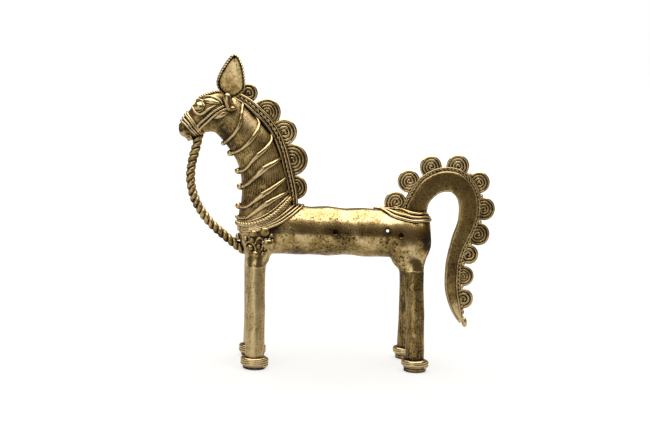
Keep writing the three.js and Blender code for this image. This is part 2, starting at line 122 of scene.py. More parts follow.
TAIL = [
    (RUMP - 11.2, 0, 4, 7.4, 2.8),
    (RUMP - 10.1, 0, 15.4, 7.8, 2.8),
    (RUMP - 7.8, 0, 22.5, 7, 2.8),
    (RUMP - 3.6, 0, 29, 7.3, 2.8),
    (RUMP + 2.1, 0, 33.4, 7.4, 2.8),
    (RUMP + 8.3, 0, 35.3, 7.6, 2.8),
    (RUMP + 14.9, 0, 34.8, 7.5, 2.8),
    (RUMP + 19.9, 0, 31.8, 7.4, 2.8),
    (RUMP + 23.7, 0, 27, 7.2, 2.8),
    (RUMP + 25.6, 0, 20.8, 7, 2.8),
    (RUMP + 25.8, 0, 12.5, 6.8, 2.8),
    (RUMP + 24.4, 0, 5.6, 6.3, 2.7),
    (RUMP + 21.4, 0, -2.6, 5.9, 2.6),
    (RUMP + 19.1, 0, -10, 5.3, 2.5),
    (RUMP + 17.4, 0, -18.5, 5, 2.4),
    (RUMP + 17.1, 0, -28.7, 5, 2.3),
    (RUMP + 17.7, 0, -36.3, 4.9, 2.2),
    (RUMP + 20.6, 0, -47, 4.2, 2.0),
    (RUMP + 22.6, 0, -52.6, 3.2, 1.7),
    (RUMP + 24.6, 0, -57.2, 1.9, 1.3),
]
LEG_RADIUS = 6.05
LEG_TOP_SPREAD = 8.8
FOOT_SPREAD = 18
# place: foot x, how far the leg leans forward at its top, pad height, wire thickness, turns
FEET = {
    "front": (CHEST + 11.1, -1.2, 1.2, 2.1, 3),
    "rear": (RUMP - 8.2, -1.8, 2.2, 2.75, 2),
}
FOOT_RADIUS = 8.85
PAD_RADIUS = 7.15
GAP = 0.3  # between a leg and its pad, the casting and its core, the neck and its mane
THREAD_STEP = 0.6  # from one point of a laid thread to the next

# How softly each part of the body runs into the rest, as the radius of the hollow between them.
NECK_FILLET, HEAD_FILLET, LIP_FILLET = 5.0, 4.0, 1.0
LEG_FILLET = {"front": 4.0, "rear": 7.5}
END_ROUNDING = 11.0  # of the flat ends of the torso
LEG_SEAM = -22.5  # where the legs leave the casting of the torso
LEG_EVENNESS = 0.45  # how uneven the legs are, next to the body

# Neck threads, from the crest to the throat, as x and z on the side of the neck.
NECK_THREADS = [
    [(-63.2, 81), (-63.3, 74.8), (-63.7, 70), (-64.9, 65.4), (-67.2, 61.2), (-70, 57.6)],
    [(-54.6, 73.2), (-52.6, 68.4), (-53, 63.6), (-55.6, 59), (-59.6, 54.1), (-64, 50.4)],
    [(-44.4, 62.2), (-44.3, 57), (-47.6, 52.2), (-52.3, 47.9), (-56.3, 43.4), (-59.4, 38.8)],
    [(-36.4, 47), (-42.2, 43.2), (-46.7, 40.6), (-50.7, 37.2), (-54.8, 32.8), (-58.8, 28.6)],
    [(-34.6, 33.6), (-40, 29.5), (-44.9, 25.8), (-50.2, 22.1), (-54.8, 18.2), (-58.6, 15)],
    [(-32.6, 25), (-38.8, 22.1), (-44.1, 19), (-49.4, 15.4), (-54, 11.6), (-58.4, 8.4)],
]
THROAT_ENDS = [(-72.2, 55.4), (-67.4, 49.2), (-61.9, 37.4), (-61.3, 27), (-61.2, 14.3), (-61.6, 7.4)]
THREAD_END = 0.72  # radius at the crest and the throat
# For each thread: its radius at its thickest, how much of its height is left when pressed flat,
# and the radius of the pellet on the throat.
THREAD_FORMS = [
    (1.3, 0.9, 1.7), (1.4, 0.9, 2.4), (1.45, 0.9, 2.4), (2.0, 0.66, 2.4), (1.9, 0.7, 2.4),
    (1.7, 0.74, 1.5),
]

# Spirals: place along the neck or the tail, distance of the centre outside its band, radius.
MANE_COILS = [
    (0.934, 3.9, 5.7), (0.715, 3.2, 8.2), (0.57, 4.8, 7.8), (0.418, 3.0, 9.5), (0.29, 0.8, 7.2),
]
TAIL_COILS = [
    (0.061, 5.5, 6.9), (0.141, 4.5, 6.8), (0.221, 2.8, 6.8), (0.311, 2.2, 6.9), (0.406, 2.7, 6.6),
    (0.499, 2.2, 7.0), (0.592, 2.8, 7.0), (0.69, 2.8, 6.0), (0.782, 2.0, 6.3), (0.878, 1.1, 6.1),
]
EAR_BASE = (-72.4, 86.2)
EAR_OUTLINE = [
    (3.9, 21.7), (1.8, 19.8), (-0.8, 16.2), (-3.1, 12.3), (-4.8, 8.5), (-5.4, 5.2), (-4.4, 2.5),
    (-2.1, 0.1), (1, -1.6), (4, -1.5), (7, 0.4), (8.9, 3), (9.2, 6), (8.7, 10), (7.7, 15),
    (6.1, 18.7),
]
REIN = [
    (-88.8, 62), (-90.9, 50.9), (-93.5, 39), (-93.6, 29), (-91, 19), (-84, 7.3), (-74, -2.4),
    (-58, -14.4),
]


# ---------------------------------------------------------------- lines


def through(points, shares):
    """Places on a smooth line through the points, at shares from 0 to 1 spread evenly over them."""
    points = np.asarray(points, float)
    padded = np.vstack([2 * points[0] - points[1], points, 2 * points[-1] - points[-2]])
    place = np.clip(np.atleast_1d(shares), 0, 1) * (len(points) - 1)
    index = np.minimum(place.astype(int), len(points) - 2)
    w = (place - index)[:, None]
    p0, p1, p2, p3 = (padded[index + k] for k in range(4))

    def step(a, b):
        return np.maximum(((a - b) ** 2).sum(1), 1e-9)[:, None] ** 0.25

    a, b, c = step(p0, p1), step(p1, p2), step(p2, p3)
    t1 = ((p1 - p0) / a - (p2 - p0) / (a + b) + (p2 - p1) / b) * b
    t2 = ((p2 - p1) / b - (p3 - p1) / (b + c) + (p3 - p2) / c) * b
    cubic = 2 * (p1 - p2) + t1 + t2
    square = 3 * (p2 - p1) - 2 * t1 - t2
    return cubic * w**3 + square * w**2 + t1 * w + p1


def evenly(points, step, closed=False):
    """A smooth line through the points, as places a step apart."""
    points = np.asarray(points, float)
    if closed:
        wrapped = np.vstack([points[-2:], points, points[:3]])
        margin = 2 / (len(wrapped) - 1)
        shares = np.linspace(margin, 1 - margin, 40 * len(points))
        dense = through(wrapped, shares)
    else:
        dense = through(points, np.linspace(0, 1, 40 * len(points)))
    run = np.concatenate([[0], np.cumsum(np.linalg.norm(np.diff(dense, axis=0), axis=1))])
    count = max(4, round(run[-1] / step) + 1)
    at = np.linspace(0, run[-1], count)
    line = np.column_stack([np.interp(at, run, dense[:, k]) for k in range(dense.shape[1])])
    return line[:-1] if closed else line


def unit(vectors):
    return vectors / np.maximum(np.linalg.norm(vectors, axis=-1, keepdims=True), 1e-9)


def directions(line, closed=False):
    if closed:
        return unit(np.roll(line, -1, 0) - np.roll(line, 1, 0))
    return unit(np.gradient(line, axis=0))


# ---------------------------------------------------------------- the form of the body


FAR = 900.0  # the distance given to a place that a limb can't reach
FIELD_REACH = 22  # how far from its skin a limb is still felt


class Limb:
    """A line through stations, with an oval section that changes along it."""

    def __init__(self, stations, samples=3):
        self.stations = np.array(stations, float)
        shares = np.linspace(0, 1, samples * (len(stations) - 1) + 1)
        self.centres = self.centre(shares)
        self.halves = self.half(shares)
        reach = self.halves.max() + FIELD_REACH
        self.low = self.centres.min(0) - reach
        self.high = self.centres.max(0) + reach

    def centre(self, share):
        return through(self.stations[:, :3], share)

    def half(self, share):
        return through(self.stations, share)[:, 3:]

    def frame(self, share):
        """The direction along the limb and the one out of the outside of its bend."""
        share = np.atleast_1d(share)
        along = unit(self.centre(share + 1e-3) - self.centre(share - 1e-3))
        out = unit(np.cross((0, 1, 0), along))
        return along, out

    def point(self, share, angle, lift=0.0):
        """A place on the skin: angle 0 is the outside of the bend and 90 degrees the right side."""
        half = self.half(share)
        _, out = self.frame(share)
        across = np.array((0, 1, 0))
        lift = np.reshape(lift, (-1, 1))
        deep = (half[:, :1] + lift) * np.cos(angle)
        wide = (half[:, 1:] + lift) * np.sin(angle)
        return self.centre(share) + out * deep + across * wide

    def field(self, places):
        """How far each place is from the skin, below 0 inside, and which way is out."""
        far = np.full(len(places), FAR)
        slope = np.zeros_like(places)
        near = ((places > self.low) & (places < self.high)).all(1)
        p = places[near]
        best = np.full(len(p), FAR)
        best_slope = np.zeros_like(p)
        for k in range(len(self.centres) - 1):
            a, b = self.centres[k], self.centres[k + 1]
            span = b - a
            t = np.clip((p - a) @ span / (span @ span), 0, 1)
            depth = self.halves[k, 0] + t * (self.halves[k + 1, 0] - self.halves[k, 0])
            width = self.halves[k, 1] + t * (self.halves[k + 1, 1] - self.halves[k, 1])
            q = p - a - t[:, None] * span
            squeeze = depth / width
            q[:, 1] *= squeeze
            length = np.maximum(np.linalg.norm(q, axis=1), 1e-9)
            closer = length - depth < best
            best[closer] = (length - depth)[closer]
            q[:, 1] *= squeeze
            best_slope[closer] = (q / length[:, None])[closer]
        far[near] = best
        slope[near] = best_slope
        return far, slope


def ball_field(places, centre, radius):
    away = places - np.asarray(centre, float)
    length = np.maximum(np.linalg.norm(away, axis=1), 1e-9)
    return length - radius, away / length[:, None]


def melted(one, other, fillet):
    """Two forms run together with a hollow of that radius between them."""
    h = np.clip(0.5 + 0.5 * (one[0] - other[0]) / fillet, 0, 1)
    far = one[0] * (1 - h) + other[0] * h - fillet * h * (1 - h)
    return far, one[1] * (1 - h[:, None]) + other[1] * h[:, None]


def capped(form, places, plane, way):
    """The form cut off by an upright plane, with a rounded edge."""
    past = (places[:, 0] - plane) * way
    h = np.clip(0.5 + 0.5 * (form[0] - past) / END_ROUNDING, 0, 1)
    far = form[0] * h + past * (1 - h) + END_ROUNDING * h * (1 - h)
    slope = form[1] * h[:, None] + np.array((way, 0, 0)) * (1 - h[:, None])
    return far, slope


# How a leg spreads into the belly: for each height, how far its middle moves towards the middle
# of the horse, and how much longer it grows.
LEG_FLARE = {
    "front": [(-9, 2.2, 2.2), (-16, 1.3, 1.3), (-19, 0.5, 0.5), (-23.5, 0.1, 0.1), (-29, 0, 0)],
    "rear": [(-9, 4, 4.6), (-16, 2.9, 3.5), (-19.5, 1.5, 1.8), (-24.5, 0.4, 0.5), (-31, 0, 0)],
}


def leg_stations(end, side):
    foot_x, lean, *_ = FEET[end]
    inwards = 1 if end == "front" else -1
    r = LEG_RADIUS + (0.15 if end == "front" else 0)
    made = []
    for z, shift, longer in LEG_FLARE[end]:
        y = LEG_TOP_SPREAD + 0.15 * max(0, -z - BODY_RADIUS)
        made.append((foot_x + lean + inwards * shift, side * y, z, r + longer, r))
    made.append((foot_x + 0.4 * lean, side * 14.4, -50, r - 0.15, r - 0.15))
    made.append((foot_x, side * FOOT_SPREAD, FLOOR, r - 0.1, r - 0.1))
    return made


def leg_name(end, side):
    return f"{end}_{'left' if side == LEFT else 'right'}"


torso, neck, head, tail_strip = Limb(TORSO), Limb(NECK), Limb(HEAD), Limb(TAIL)
legs = {(end, side): Limb(leg_stations(end, side), 2) for end in FEET for side in (LEFT, RIGHT)}
# Balls of the muzzle: place on the right side and radius. Then the dent of the nostril.
MUZZLE = [
    (-99.6, 2.0, 63.6, 2.9), (-98.6, 1.5, 60.2, 2.6), (-96.8, 1.9, 58.7, 2.5),
    (-94.2, 1.4, 56.4, 3.0),
]
NOSTRIL, NOSTRIL_DEPTH = (-100.9, 3.4, 61.7, 1.0), 1.5


def body_field(places):
    """The casting without its threads: distance from its skin and the way out of it."""
    form = capped(torso.field(places), places, RUMP, 1)
    form = capped(form, places, CHEST, -1)
    form = melted(form, neck.field(places), NECK_FILLET)
    form = melted(form, head.field(places), HEAD_FILLET)
    for x, y, z, radius in MUZZLE:
        for side in (LEFT, RIGHT):
            form = melted(form, ball_field(places, (x, side * y, z), radius), LIP_FILLET)
    for (end, _), leg in legs.items():
        form = melted(form, leg.field(places), LEG_FILLET[end])
    # The uneven surface that is left by pressing clay and wax by hand, in waves of 7 to 40 mm.
    x, y, z = places.T
    hand = 0.17 * np.sin(x * 0.31 + 1.3 * np.sin(y * 0.23)) + 0.15 * np.sin(z * 0.27 + y * 0.19 + 2)
    hand += 0.25 * np.sin(x * 0.155 + z * 0.05 + 1)
    hand += 0.03 * np.sin(x * 0.83 + z * 0.61) + 0.03 * np.sin(y * 0.97 - z * 0.74 + 1)
    hand *= np.where(z < LEG_SEAM, LEG_EVENNESS, 1)
    nx, ny, nz, radius = NOSTRIL
    away = (x - nx) ** 2 + (np.abs(y) - ny) ** 2 + (z - nz) ** 2
    hand += NOSTRIL_DEPTH * np.exp(-away / radius**2)
    steep = np.maximum(np.linalg.norm(form[1], axis=1), 0.2)
    return form[0] / steep + hand, form[1] / steep[:, None]


def settle(places, lift=0.0, steps=6):
    """The places moved along the slope of the skin until they lie that far above it."""
    places = np.array(places, float)
    for _ in range(steps):
        far, slope = body_field(places)
        move = np.clip(far - lift, -3, 3)
        places -= move[:, None] * slope
    return places


def laid(places, side, lift):
    """Places on one side of the horse over the given x and z, that far above the skin."""
    places = np.asarray(places, float)
    inner = np.column_stack([places[:, 0], np.zeros(len(places)), places[:, 1]])
    outer = inner + (0, side * 30, 0)
    for _ in range(18):
        middle = (inner + outer) / 2
        inside = (body_field(middle)[0] < 0)[:, None]
        inner = np.where(inside, middle, inner)
        outer = np.where(inside, outer, middle)
    inner[:, 1] = np.where(np.abs(inner[:, 1]) < 0.3, side * 0.3, inner[:, 1])
    return settle(inner, lift)


def along_side(places, side, lift):
    """A line on one side of the horse, over x and z points."""
    return evenly(laid(evenly(places, 1.5), side, lift), THREAD_STEP)


def round_both(front, side_places, back, lift, step=0.7):
    """A closed line round the horse: a front point, the two sides, and a back point."""
    near = laid(side_places, LEFT, lift)
    far = near * (1, -1, 1)
    front, back = ((x, 0, z) for x, z in (front, back))
    ring = np.vstack([[front], near, [back], far[::-1]])
    return settle(evenly(ring, step, closed=True), lift)


def over_throat(side_places, throat, lift):
    """An open line from the near crest, under the throat, to the far crest."""
    near = laid(side_places, LEFT, lift)
    middle = settle([(throat[0], 0, throat[1])], lift)
    line = np.vstack([near, middle, (near * (1, -1, 1))[::-1]])
    return evenly(settle(evenly(line, 2 * THREAD_STEP), lift), THREAD_STEP)


# ---------------------------------------------------------------- wires and ropes


def swell(count, middle, end, power=1.0):
    """Radii of a thread that is thickest at its middle."""
    bulge = np.sin(np.linspace(0, math.pi, count)) ** power
    return end + (middle - end) * bulge


def rolled(line, radius, closed=False, seed=0.0):
    """A wire rolled by hand: its line, with rounded ends, and a radius that wanders a little."""
    line = np.asarray(line, float)
    radii = np.full(len(line), radius, float) if np.isscalar(radius) else np.array(radius, float)
    run = np.arange(len(line))
    if closed:
        turn = 2 * math.pi * run / len(line)
        radii = radii * (1 + 0.035 * np.sin(7 * turn + seed) + 0.03 * np.sin(17 * turn + 3 * seed))
        return line, radii, True
    radii = radii * (1 + 0.035 * np.sin(run * 0.31 + seed) + 0.03 * np.sin(run * 0.77 + 3 * seed))
    way = directions(line)
    angles = np.radians((84, 58, 30))
    start = [line[0] - way[0] * radii[0] * math.sin(a) for a in angles]
    end = [line[-1] + way[-1] * radii[-1] * math.sin(a) for a in angles[::-1]]
    radii = np.concatenate([radii[0] * np.cos(angles), radii, radii[-1] * np.cos(angles[::-1])])
    return np.vstack([start, line, end]), radii, False


def twisted(line, radius, pitch, closed=False, seed=0.0):
    """The two strands of a rope twisted round a line."""
    length = np.linalg.norm(np.diff(line, axis=0), axis=1).sum()
    line = evenly(line, pitch / 12, closed)
    way = directions(line, closed)
    side = np.empty_like(line)
    carried = np.cross(way[0], (0.31, 0.9, 0.3))
    for k, d in enumerate(way):
        carried = carried - d * (carried @ d)
        carried = carried / np.linalg.norm(carried)
        side[k] = carried
    over = np.cross(way, side)
    turns = length / pitch
    share = np.linspace(0, 1, len(line), endpoint=not closed)
    slip = 0.0
    if closed:
        first, last = side[0], side[-1]
        slip = math.atan2(np.dot(np.cross(last, first), way[0]), np.dot(last, first))
        turns = round(turns)
    thick = 0.56 * radius  # over half, so that the strands press into each other
    ropes = []
    for k in range(2):
        angle = 2 * math.pi * (turns * share + k / 2) + slip * share
        offset = side * np.cos(angle)[:, None] + over * np.sin(angle)[:, None]
        ropes.append(rolled(line + (radius - thick) * offset, thick, closed, seed + k))
    return ropes


def spiral(turns):
    """A wire coiled flat in a circle of radius 1, which ends at +X. Each turn steps outwards most
    of its way near +X, where a band hides it, so that the rest looks round."""
    pitch = 1 / turns
    wire = 0.46 * pitch
    last = 0.985 - wire + pitch / 2
    first = -last / pitch + 0.35
    turn = np.linspace(first, -0.03, 30 * turns)
    part = turn % 1
    hidden = 0.08
    stepped = np.floor(turn) + 0.5 + 0.5 * np.clip((part - 1) / hidden + 1, 0, 1)
    stepped -= 0.5 * np.clip(1 - part / hidden, 0, 1)
    radius = np.maximum(last + pitch * (0.55 * turn + 0.45 * stepped), 0.2 * pitch)
    angle = 2 * math.pi * turn
    line = np.column_stack([radius * np.cos(angle), 0 * angle, radius * np.sin(angle)])
    return rolled(line, wire)


# ---------------------------------------------------------------- making meshes


def circle(count):
    """Points round a circle of radius 1 that faces up."""
    angle = np.linspace(0, 2 * math.pi, count, endpoint=False)
    return np.column_stack([np.cos(angle), np.sin(angle), 0 * angle])


def oval(count, deep_power, wide_power):
    """The depth and width of an oval section, from -1 to 1. Lower powers make it squarer."""
    cos, sin, _ = circle(count).T
    return np.sign(cos) * np.abs(cos) ** deep_power, np.sign(sin) * np.abs(sin) ** wide_power


def select_only(*objects):
    for thing in bpy.context.selected_objects:
        thing.select_set(False)
    for thing in objects:
        thing.select_set(True)
    bpy.context.view_layer.objects.active = objects[0]


def placed(points):
    """Millimetres from the middle of the horse, as metres in the row frame."""
    return (np.asarray(points, float) + (0, 0, AXIS_HEIGHT)) * MM


def measured(obj):
    """The vertices of a mesh, as millimetres from the middle of the horse."""
    flat = np.empty(len(obj.data.vertices) * 3, np.float32)
    obj.data.vertices.foreach_get("co", flat)
    return flat.reshape(-1, 3).astype(float) / MM - (0, 0, AXIS_HEIGHT)


def move_to(obj, points):
    obj.data.vertices.foreach_set("co", placed(points).astype(np.float32).ravel())
    obj.data.update()


def edit(obj, *steps):
    """Edit-mode steps on all of a mesh."""
    select_only(obj)
    bpy.ops.object.mode_set(mode="EDIT")
    bpy.ops.mesh.select_all(action="SELECT")
    for step in steps:
        step()
    bpy.ops.object.mode_set(mode="OBJECT")


def weld():
    bpy.ops.mesh.remove_doubles(threshold=2e-6)
    bpy.ops.mesh.normals_make_consistent(inside=False)


def wires(lines, sides=8):
    """One mesh of wires, each a line, its radii and whether it is closed."""
    curve = bpy.data.curves.new("wires", "CURVE")
    curve.dimensions = "3D"
    curve.bevel_depth = MM
    curve.bevel_resolution = max(0, sides // 2 - 2)
    curve.use_fill_caps = True
    for line, radii, closed in lines:
        spline = curve.splines.new("POLY")
        spline.points.add(len(line) - 1)
        spline.points.foreach_set("co", np.column_stack([placed(line), np.ones(len(line))]).ravel())
        spline.points.foreach_set("radius", radii)
        spline.use_cyclic_u = closed
    obj = bpy.data.objects.new("wires", curve)
    bpy.context.scene.collection.objects.link(obj)
    select_only(obj)
    bpy.ops.object.convert(target="MESH")
    obj = bpy.context.object
    edit(obj, weld)
    return obj


def primitive(kind, **settings):
    """A new mesh from one of Blender's own shapes, to be worked on."""
    select_only(frame["bodies"]["root"])
    getattr(bpy.ops.mesh, f"primitive_{kind}_add")(**settings)
    return bpy.context.object


def pellet(centre, radius, flat=(1, 1, 1), turn=None):
    """A small ball of wax, pressed as asked."""
    obj = primitive("uv_sphere", segments=16, ring_count=10, radius=radius * MM)
    form = Matrix.Diagonal((*flat, 1))
    if turn is not None:
        form = turn.to_4x4() @ form
    obj.data.transform(Matrix.Translation(placed([centre])[0]) @ form)
    return obj


def facing(direction):
    """The turn that brings +Z to a direction."""
    return Vector(direction).to_track_quat("Z", "Y").to_matrix()


def bent_grid(rings):
    """A grid bent round through rings of points, its seam still open."""
    rows, sides = rings.shape[:2]
    obj = primitive("grid", x_subdivisions=sides, y_subdivisions=rows - 1, size=1)
    move_to(obj, np.concatenate([rings, rings[:, :1]], axis=1).reshape(-1, 3))
    return obj


def wrapped(rings):
    """A closed skin through rings of points, its seam merged and its ends filled."""
    obj = bent_grid(rings)

    def close():
        bpy.ops.mesh.remove_doubles(threshold=1e-6)
        bpy.ops.mesh.select_all(action="SELECT")
        bpy.ops.mesh.fill_holes(sides=0)
        bpy.ops.mesh.select_all(action="SELECT")
        bpy.ops.mesh.normals_make_consistent(inside=False)

    edit(obj, close)
    return obj


def joined(*parts):
    select_only(*parts)
    if len(parts) > 1:
        bpy.ops.object.join()
    return bpy.context.object


def press(obj, lift, share):
    """Presses a thread towards the skin, leaving that share of its height above the lift."""
    points = measured(obj)
    far, slope = body_field(points)
    move = (far - lift) * (1 - share)
    move_to(obj, points - move[:, None] * slope)


def apply(obj, kind, **settings):
    select_only(obj)
    bpy.ops.object.modifier_add(type=kind)
    modifier = obj.modifiers[-1]
    for name, value in settings.items():
        setattr(modifier, name, value)
    bpy.ops.object.modifier_apply(modifier=modifier.name)


def finished(obj, name, finish, node=None, smooth=True):
    """Names a piece, gives it its finish, and lets it stand for its CAD node.

    Unless it is given, the node has the name of the piece with _ for the full stop.
    """
    obj.name = name
    obj.data.name = name
    select_only(obj)
    if smooth:
        bpy.ops.object.shade_smooth()
    else:
        bpy.ops.object.shade_smooth_by_angle(angle=math.radians(38))
    obj.data.materials.clear()
    obj.data.materials.append(material(finish))
    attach(obj, "root")
    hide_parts(node or name.replace(".", "_"))
    return obj


def duplicate(obj):
    copy = obj.copy()
    copy.data = obj.data.copy()
    bpy.context.scene.collection.objects.link(copy)
    return copy


def remove(*objects):
    for thing in objects:
        bpy.data.objects.remove(thing)


# ---------------------------------------------------------------- finishes


def linear(code):
    """An sRGB hex colour as the linear values that nodes take."""
    parts = [int(code[k : k + 2], 16) / 255 for k in (1, 3, 5)]
    return [c / 12.92 if c <= 0.04045 else ((c + 0.055) / 1.055) ** 2.4 for c in parts]


def add(tree, kind, links=None, **settings):
    """Adds a node with its settings. Links give a value or another node's output for an input."""
    node = tree.nodes.new(kind)
    for name, value in settings.items():
        setattr(node, name, value)
    for name, value in (links or {}).items():
        if isinstance(value, bpy.types.NodeSocket):
            tree.links.new(value, node.inputs[name])
        else:
            node.inputs[name].default_value = value
    return node


def ramp(tree, factor, stops):
    node = add(tree, "ShaderNodeValToRGB", {0: factor})
    elements = node.color_ramp.elements
    while len(elements) < len(stops):
        elements.new(0.5)
    for element, (place, colour) in zip(elements, stops):
        element.position = place
        element.color = (*colour, 1)
    return node.outputs[0]


def remap(tree, value, low, high, to_low=0.0, to_high=1.0):
    links = {0: value, 1: low, 2: high, 3: to_low, 4: to_high}
    return add(tree, "ShaderNodeMapRange", links).outputs[0]


def maths(tree, operation, a, b, clamp=False):
    node = add(tree, "ShaderNodeMath", {0: a, 1: b}, operation=operation, use_clamp=clamp)
    return node.outputs[0]


def new_material(name):
    made = bpy.data.materials.new(name)
    made.use_nodes = True
    return made, made.node_tree, made.node_tree.nodes["Principled BSDF"]


def millimetres(tree):
    """The place on the horse, in millimetres, for the scale of a pattern."""
    place = add(tree, "ShaderNodeTexCoord").outputs["Object"]
    return add(tree, "ShaderNodeMapping", {0: place, 3: (1 / MM,) * 3}).outputs[0]


# Cast brass, poured into a mould burnt out of wax and rubbed back by hand. What stands proud is
# polished to a pale gold, hollows keep a brown and black oxide, and the skin is softly uneven.
# For each finish: its even tarnish, how much that varies, how dark the hollows are, roughness,
# dark flecks, streaks along a leg, and hatching of the wax.
BRASS_FINISHES = {
    "brass, cast and burnished": (0.2, 0.4, 0.9, 0.2, 1.4, 0.0, 0.0),
    "brass, cast head": (0.26, 0.35, 1.1, 0.24, 0.3, 0.0, 0.0),
    "brass, cast leg": (0.12, 0.2, 0.9, 0.4, 0.3, 0.35, 0.0),
    "brass, cast leg left dark": (0.46, 0.25, 0.9, 0.32, 1.0, 0.45, 0.0),
    "brass, cast over combed wax": (0.38, 0.5, 0.9, 0.4, 0.3, 0.0, 1.0),
    "brass, rubbed thread": (0.1, 0.3, 1.2, 0.22, 0.1, 0.0, 0.0),
    "brass, coiled thread": (0.22, 0.35, 1.4, 0.25, 0.1, 0.0, 0.0),
    "brass, coiled thread left dark": (0.46, 0.35, 1.4, 0.3, 0.1, 0.0, 0.0),
    "brass, thread left black": (0.62, 0.35, 1.4, 0.32, 0.1, 0.0, 0.0),
    "brass, polished leaf": (0.2, 0.4, 1.0, 0.2, 0.1, 0.0, 0.0),
    "brass, plate left dark": (0.5, 0.25, 1.0, 0.3, 0.2, 0.0, 0.0),
}


# The comb left grooves about 0.5 mm apart. They are drawn further apart, so that they show.
COMB_PITCH = 1.5


def brass(name, even, varied, hollow, rough, flecks, streaks, hatch):
    """A finish of the cast brass: one tarnish from 0 to 1, with painted shade and painted light added
    into it, sets its colour, gloss and metal.
    """
    finish = bpy.context.scene.horse_finish
    made, tree, shader = new_material(name)
    place = millimetres(tree)

    def noise(size, detail, roughness=0.55, vector=place):
        links = {"Vector": vector, "Scale": 1 / size, "Detail": detail, "Roughness": roughness}
        return add(tree, "ShaderNodeTexNoise", links).outputs[0]

    def plus(a, b, clamp=False):
        return maths(tree, "ADD", a, b, clamp)

    def times(a, b):
        return maths(tree, "MULTIPLY", a, b)

    # Broad blotches from the melt, clouds of tarnish, and the grain that the clay mould left.
    blotch = noise(size=17, detail=3)
    cloud = noise(size=5.5, detail=5, roughness=0.6)
    grain = noise(size=1.3, detail=4, roughness=0.6)
    fleck = times(remap(tree, grain, 0.55, 0.66), remap(tree, blotch, 0.38, 0.6))

    # Oxide stays in the crevices between threads, and edges are rubbed bright. Undersides are painted
    # darker and tops a little paler, as painted shade and painted light.
    shelter = add(tree, "ShaderNodeAmbientOcclusion", {"Distance": 2.2 * MM}, samples=6)
    crevice = remap(tree, shelter.outputs["AO"], 0.92, 0.4, 0, hollow)
    surface = add(tree, "ShaderNodeNewGeometry")
    edge = remap(tree, surface.outputs["Pointiness"], 0.505, 0.58)
    split = add(tree, "ShaderNodeSeparateXYZ", {0: surface.outputs["Normal"]})
    # Painted shade on faces that turn down, and painted light on faces that turn up.
    under = remap(tree, split.outputs["Z"], 0.35, -0.6, -0.1, 0.3)
    fleck = times(fleck, remap(tree, split.outputs["Z"], 0.8, 0.3, 0.1, 1))
    stain_and_painted_light = add(tree, "ShaderNodeAttribute", attribute_name="stain_and_painted_light").outputs["Fac"]

    # The tarnish value also carries painted shade and painted light, added below.
    tarnish = plus(remap(tree, blotch, 0.36, 0.66, -0.5 * varied, 0.5 * varied), even)
    tarnish = plus(tarnish, remap(tree, cloud, 0.4, 0.64, -0.3 * varied, 0.3 * varied))
    tarnish = plus(tarnish, remap(tree, grain, 0.4, 0.64, -0.12, 0.12))
    tarnish = plus(plus(tarnish, under), crevice)
    # Marked patches darken or lighten the metal: oxide round the pins, painted shade and a painted
    # highlight.
    tarnish = plus(tarnish, times(stain_and_painted_light, plus(cloud, 0.35)))
    tarnish = plus(tarnish, times(fleck, 0.7 * flecks))
    if streaks:
        drawn = add(tree, "ShaderNodeMapping", {0: place, 3: (1, 1, 0.05)}).outputs[0]
        streak = remap(tree, noise(1.3, 3, 0.6, drawn), 0.38, 0.64, -0.3 * streaks, 0.5 * streaks)
        tarnish = plus(tarnish, streak)
    tarnish = maths(tree, "SUBTRACT", tarnish, times(edge, 0.5), clamp=True)

    relief = plus(times(cloud, 0.9), times(grain, 0.3))
    relief = maths(tree, "SUBTRACT", relief, times(fleck, 0.5 * flecks))
    if hatch:
        turn = add(tree, "ShaderNodeAttribute", attribute_name="round_the_neck").outputs["Fac"]
        bent = plus(turn, times(cloud, 2.0))
        comb = maths(tree, "SINE", times(bent, 2 * math.pi / COMB_PITCH), 0.0)
        comb = times(comb, remap(tree, cloud, 0.38, 0.6, 0.1, 1))
        relief = plus(relief, times(comb, 0.45 * hatch))
        tarnish = plus(tarnish, times(comb, -0.22), clamp=True)

    colour = ramp(
        tree,
        tarnish,
        [
            (0.0, finish.bright_brass),
            (0.36, finish.worn_brass),
            (0.7, finish.brown_oxide),
            (1.0, finish.dark_oxide),
        ],
    )
    tree.links.new(colour, shader.inputs["Base Color"])
    tree.links.new(remap(tree, tarnish, 0.45, 1, 1, 0.6), shader.inputs["Metallic"])
    tree.links.new(remap(tree, tarnish, 0, 1, rough, rough + 0.25), shader.inputs["Roughness"])
    bump = add(tree, "ShaderNodeBump", {"Strength": 0.8, "Distance": 0.13 * MM, "Height": relief})
    tree.links.new(bump.outputs[0], shader.inputs["Normal"])
    return made


def clay(name):
    """Fired river clay: rough, open and reddish brown, darker in random scorched patches, and given
    painted shade where the metal closes over it.
    """
    finish = bpy.context.scene.horse_finish
    made, tree, shader = new_material(name)
    place = millimetres(tree)
    scorch = add(tree, "ShaderNodeTexNoise", {"Vector": place, "Scale": 0.2, "Detail": 4}).outputs[0]
    grit = add(tree, "ShaderNodeTexNoise", {"Vector": place, "Scale": 1.4, "Detail": 6}).outputs[0]
    # Painted shade: ambient occlusion darkens the clay where the casting closes round it.
    shelter = add(tree, "ShaderNodeAmbientOcclusion", {"Distance": 4 * MM}, samples=6)
    painted_core_shade = remap(tree, shelter.outputs["AO"], 0.15, 0.75)
    light, dark = finish.fired_clay, [c * 0.12 for c in finish.fired_clay]
    fired = maths(tree, "MULTIPLY", remap(tree, scorch, 0.3, 0.62), painted_core_shade)
    tree.links.new(ramp(tree, fired, [(0.0, dark), (1.0, light)]), shader.inputs["Base Color"])
    bump = add(tree, "ShaderNodeBump", {"Strength": 0.7, "Distance": 0.3 * MM, "Height": grit})
    tree.links.new(bump.outputs[0], shader.inputs["Normal"])
    shader.inputs["Roughness"].default_value = 0.92
    return made


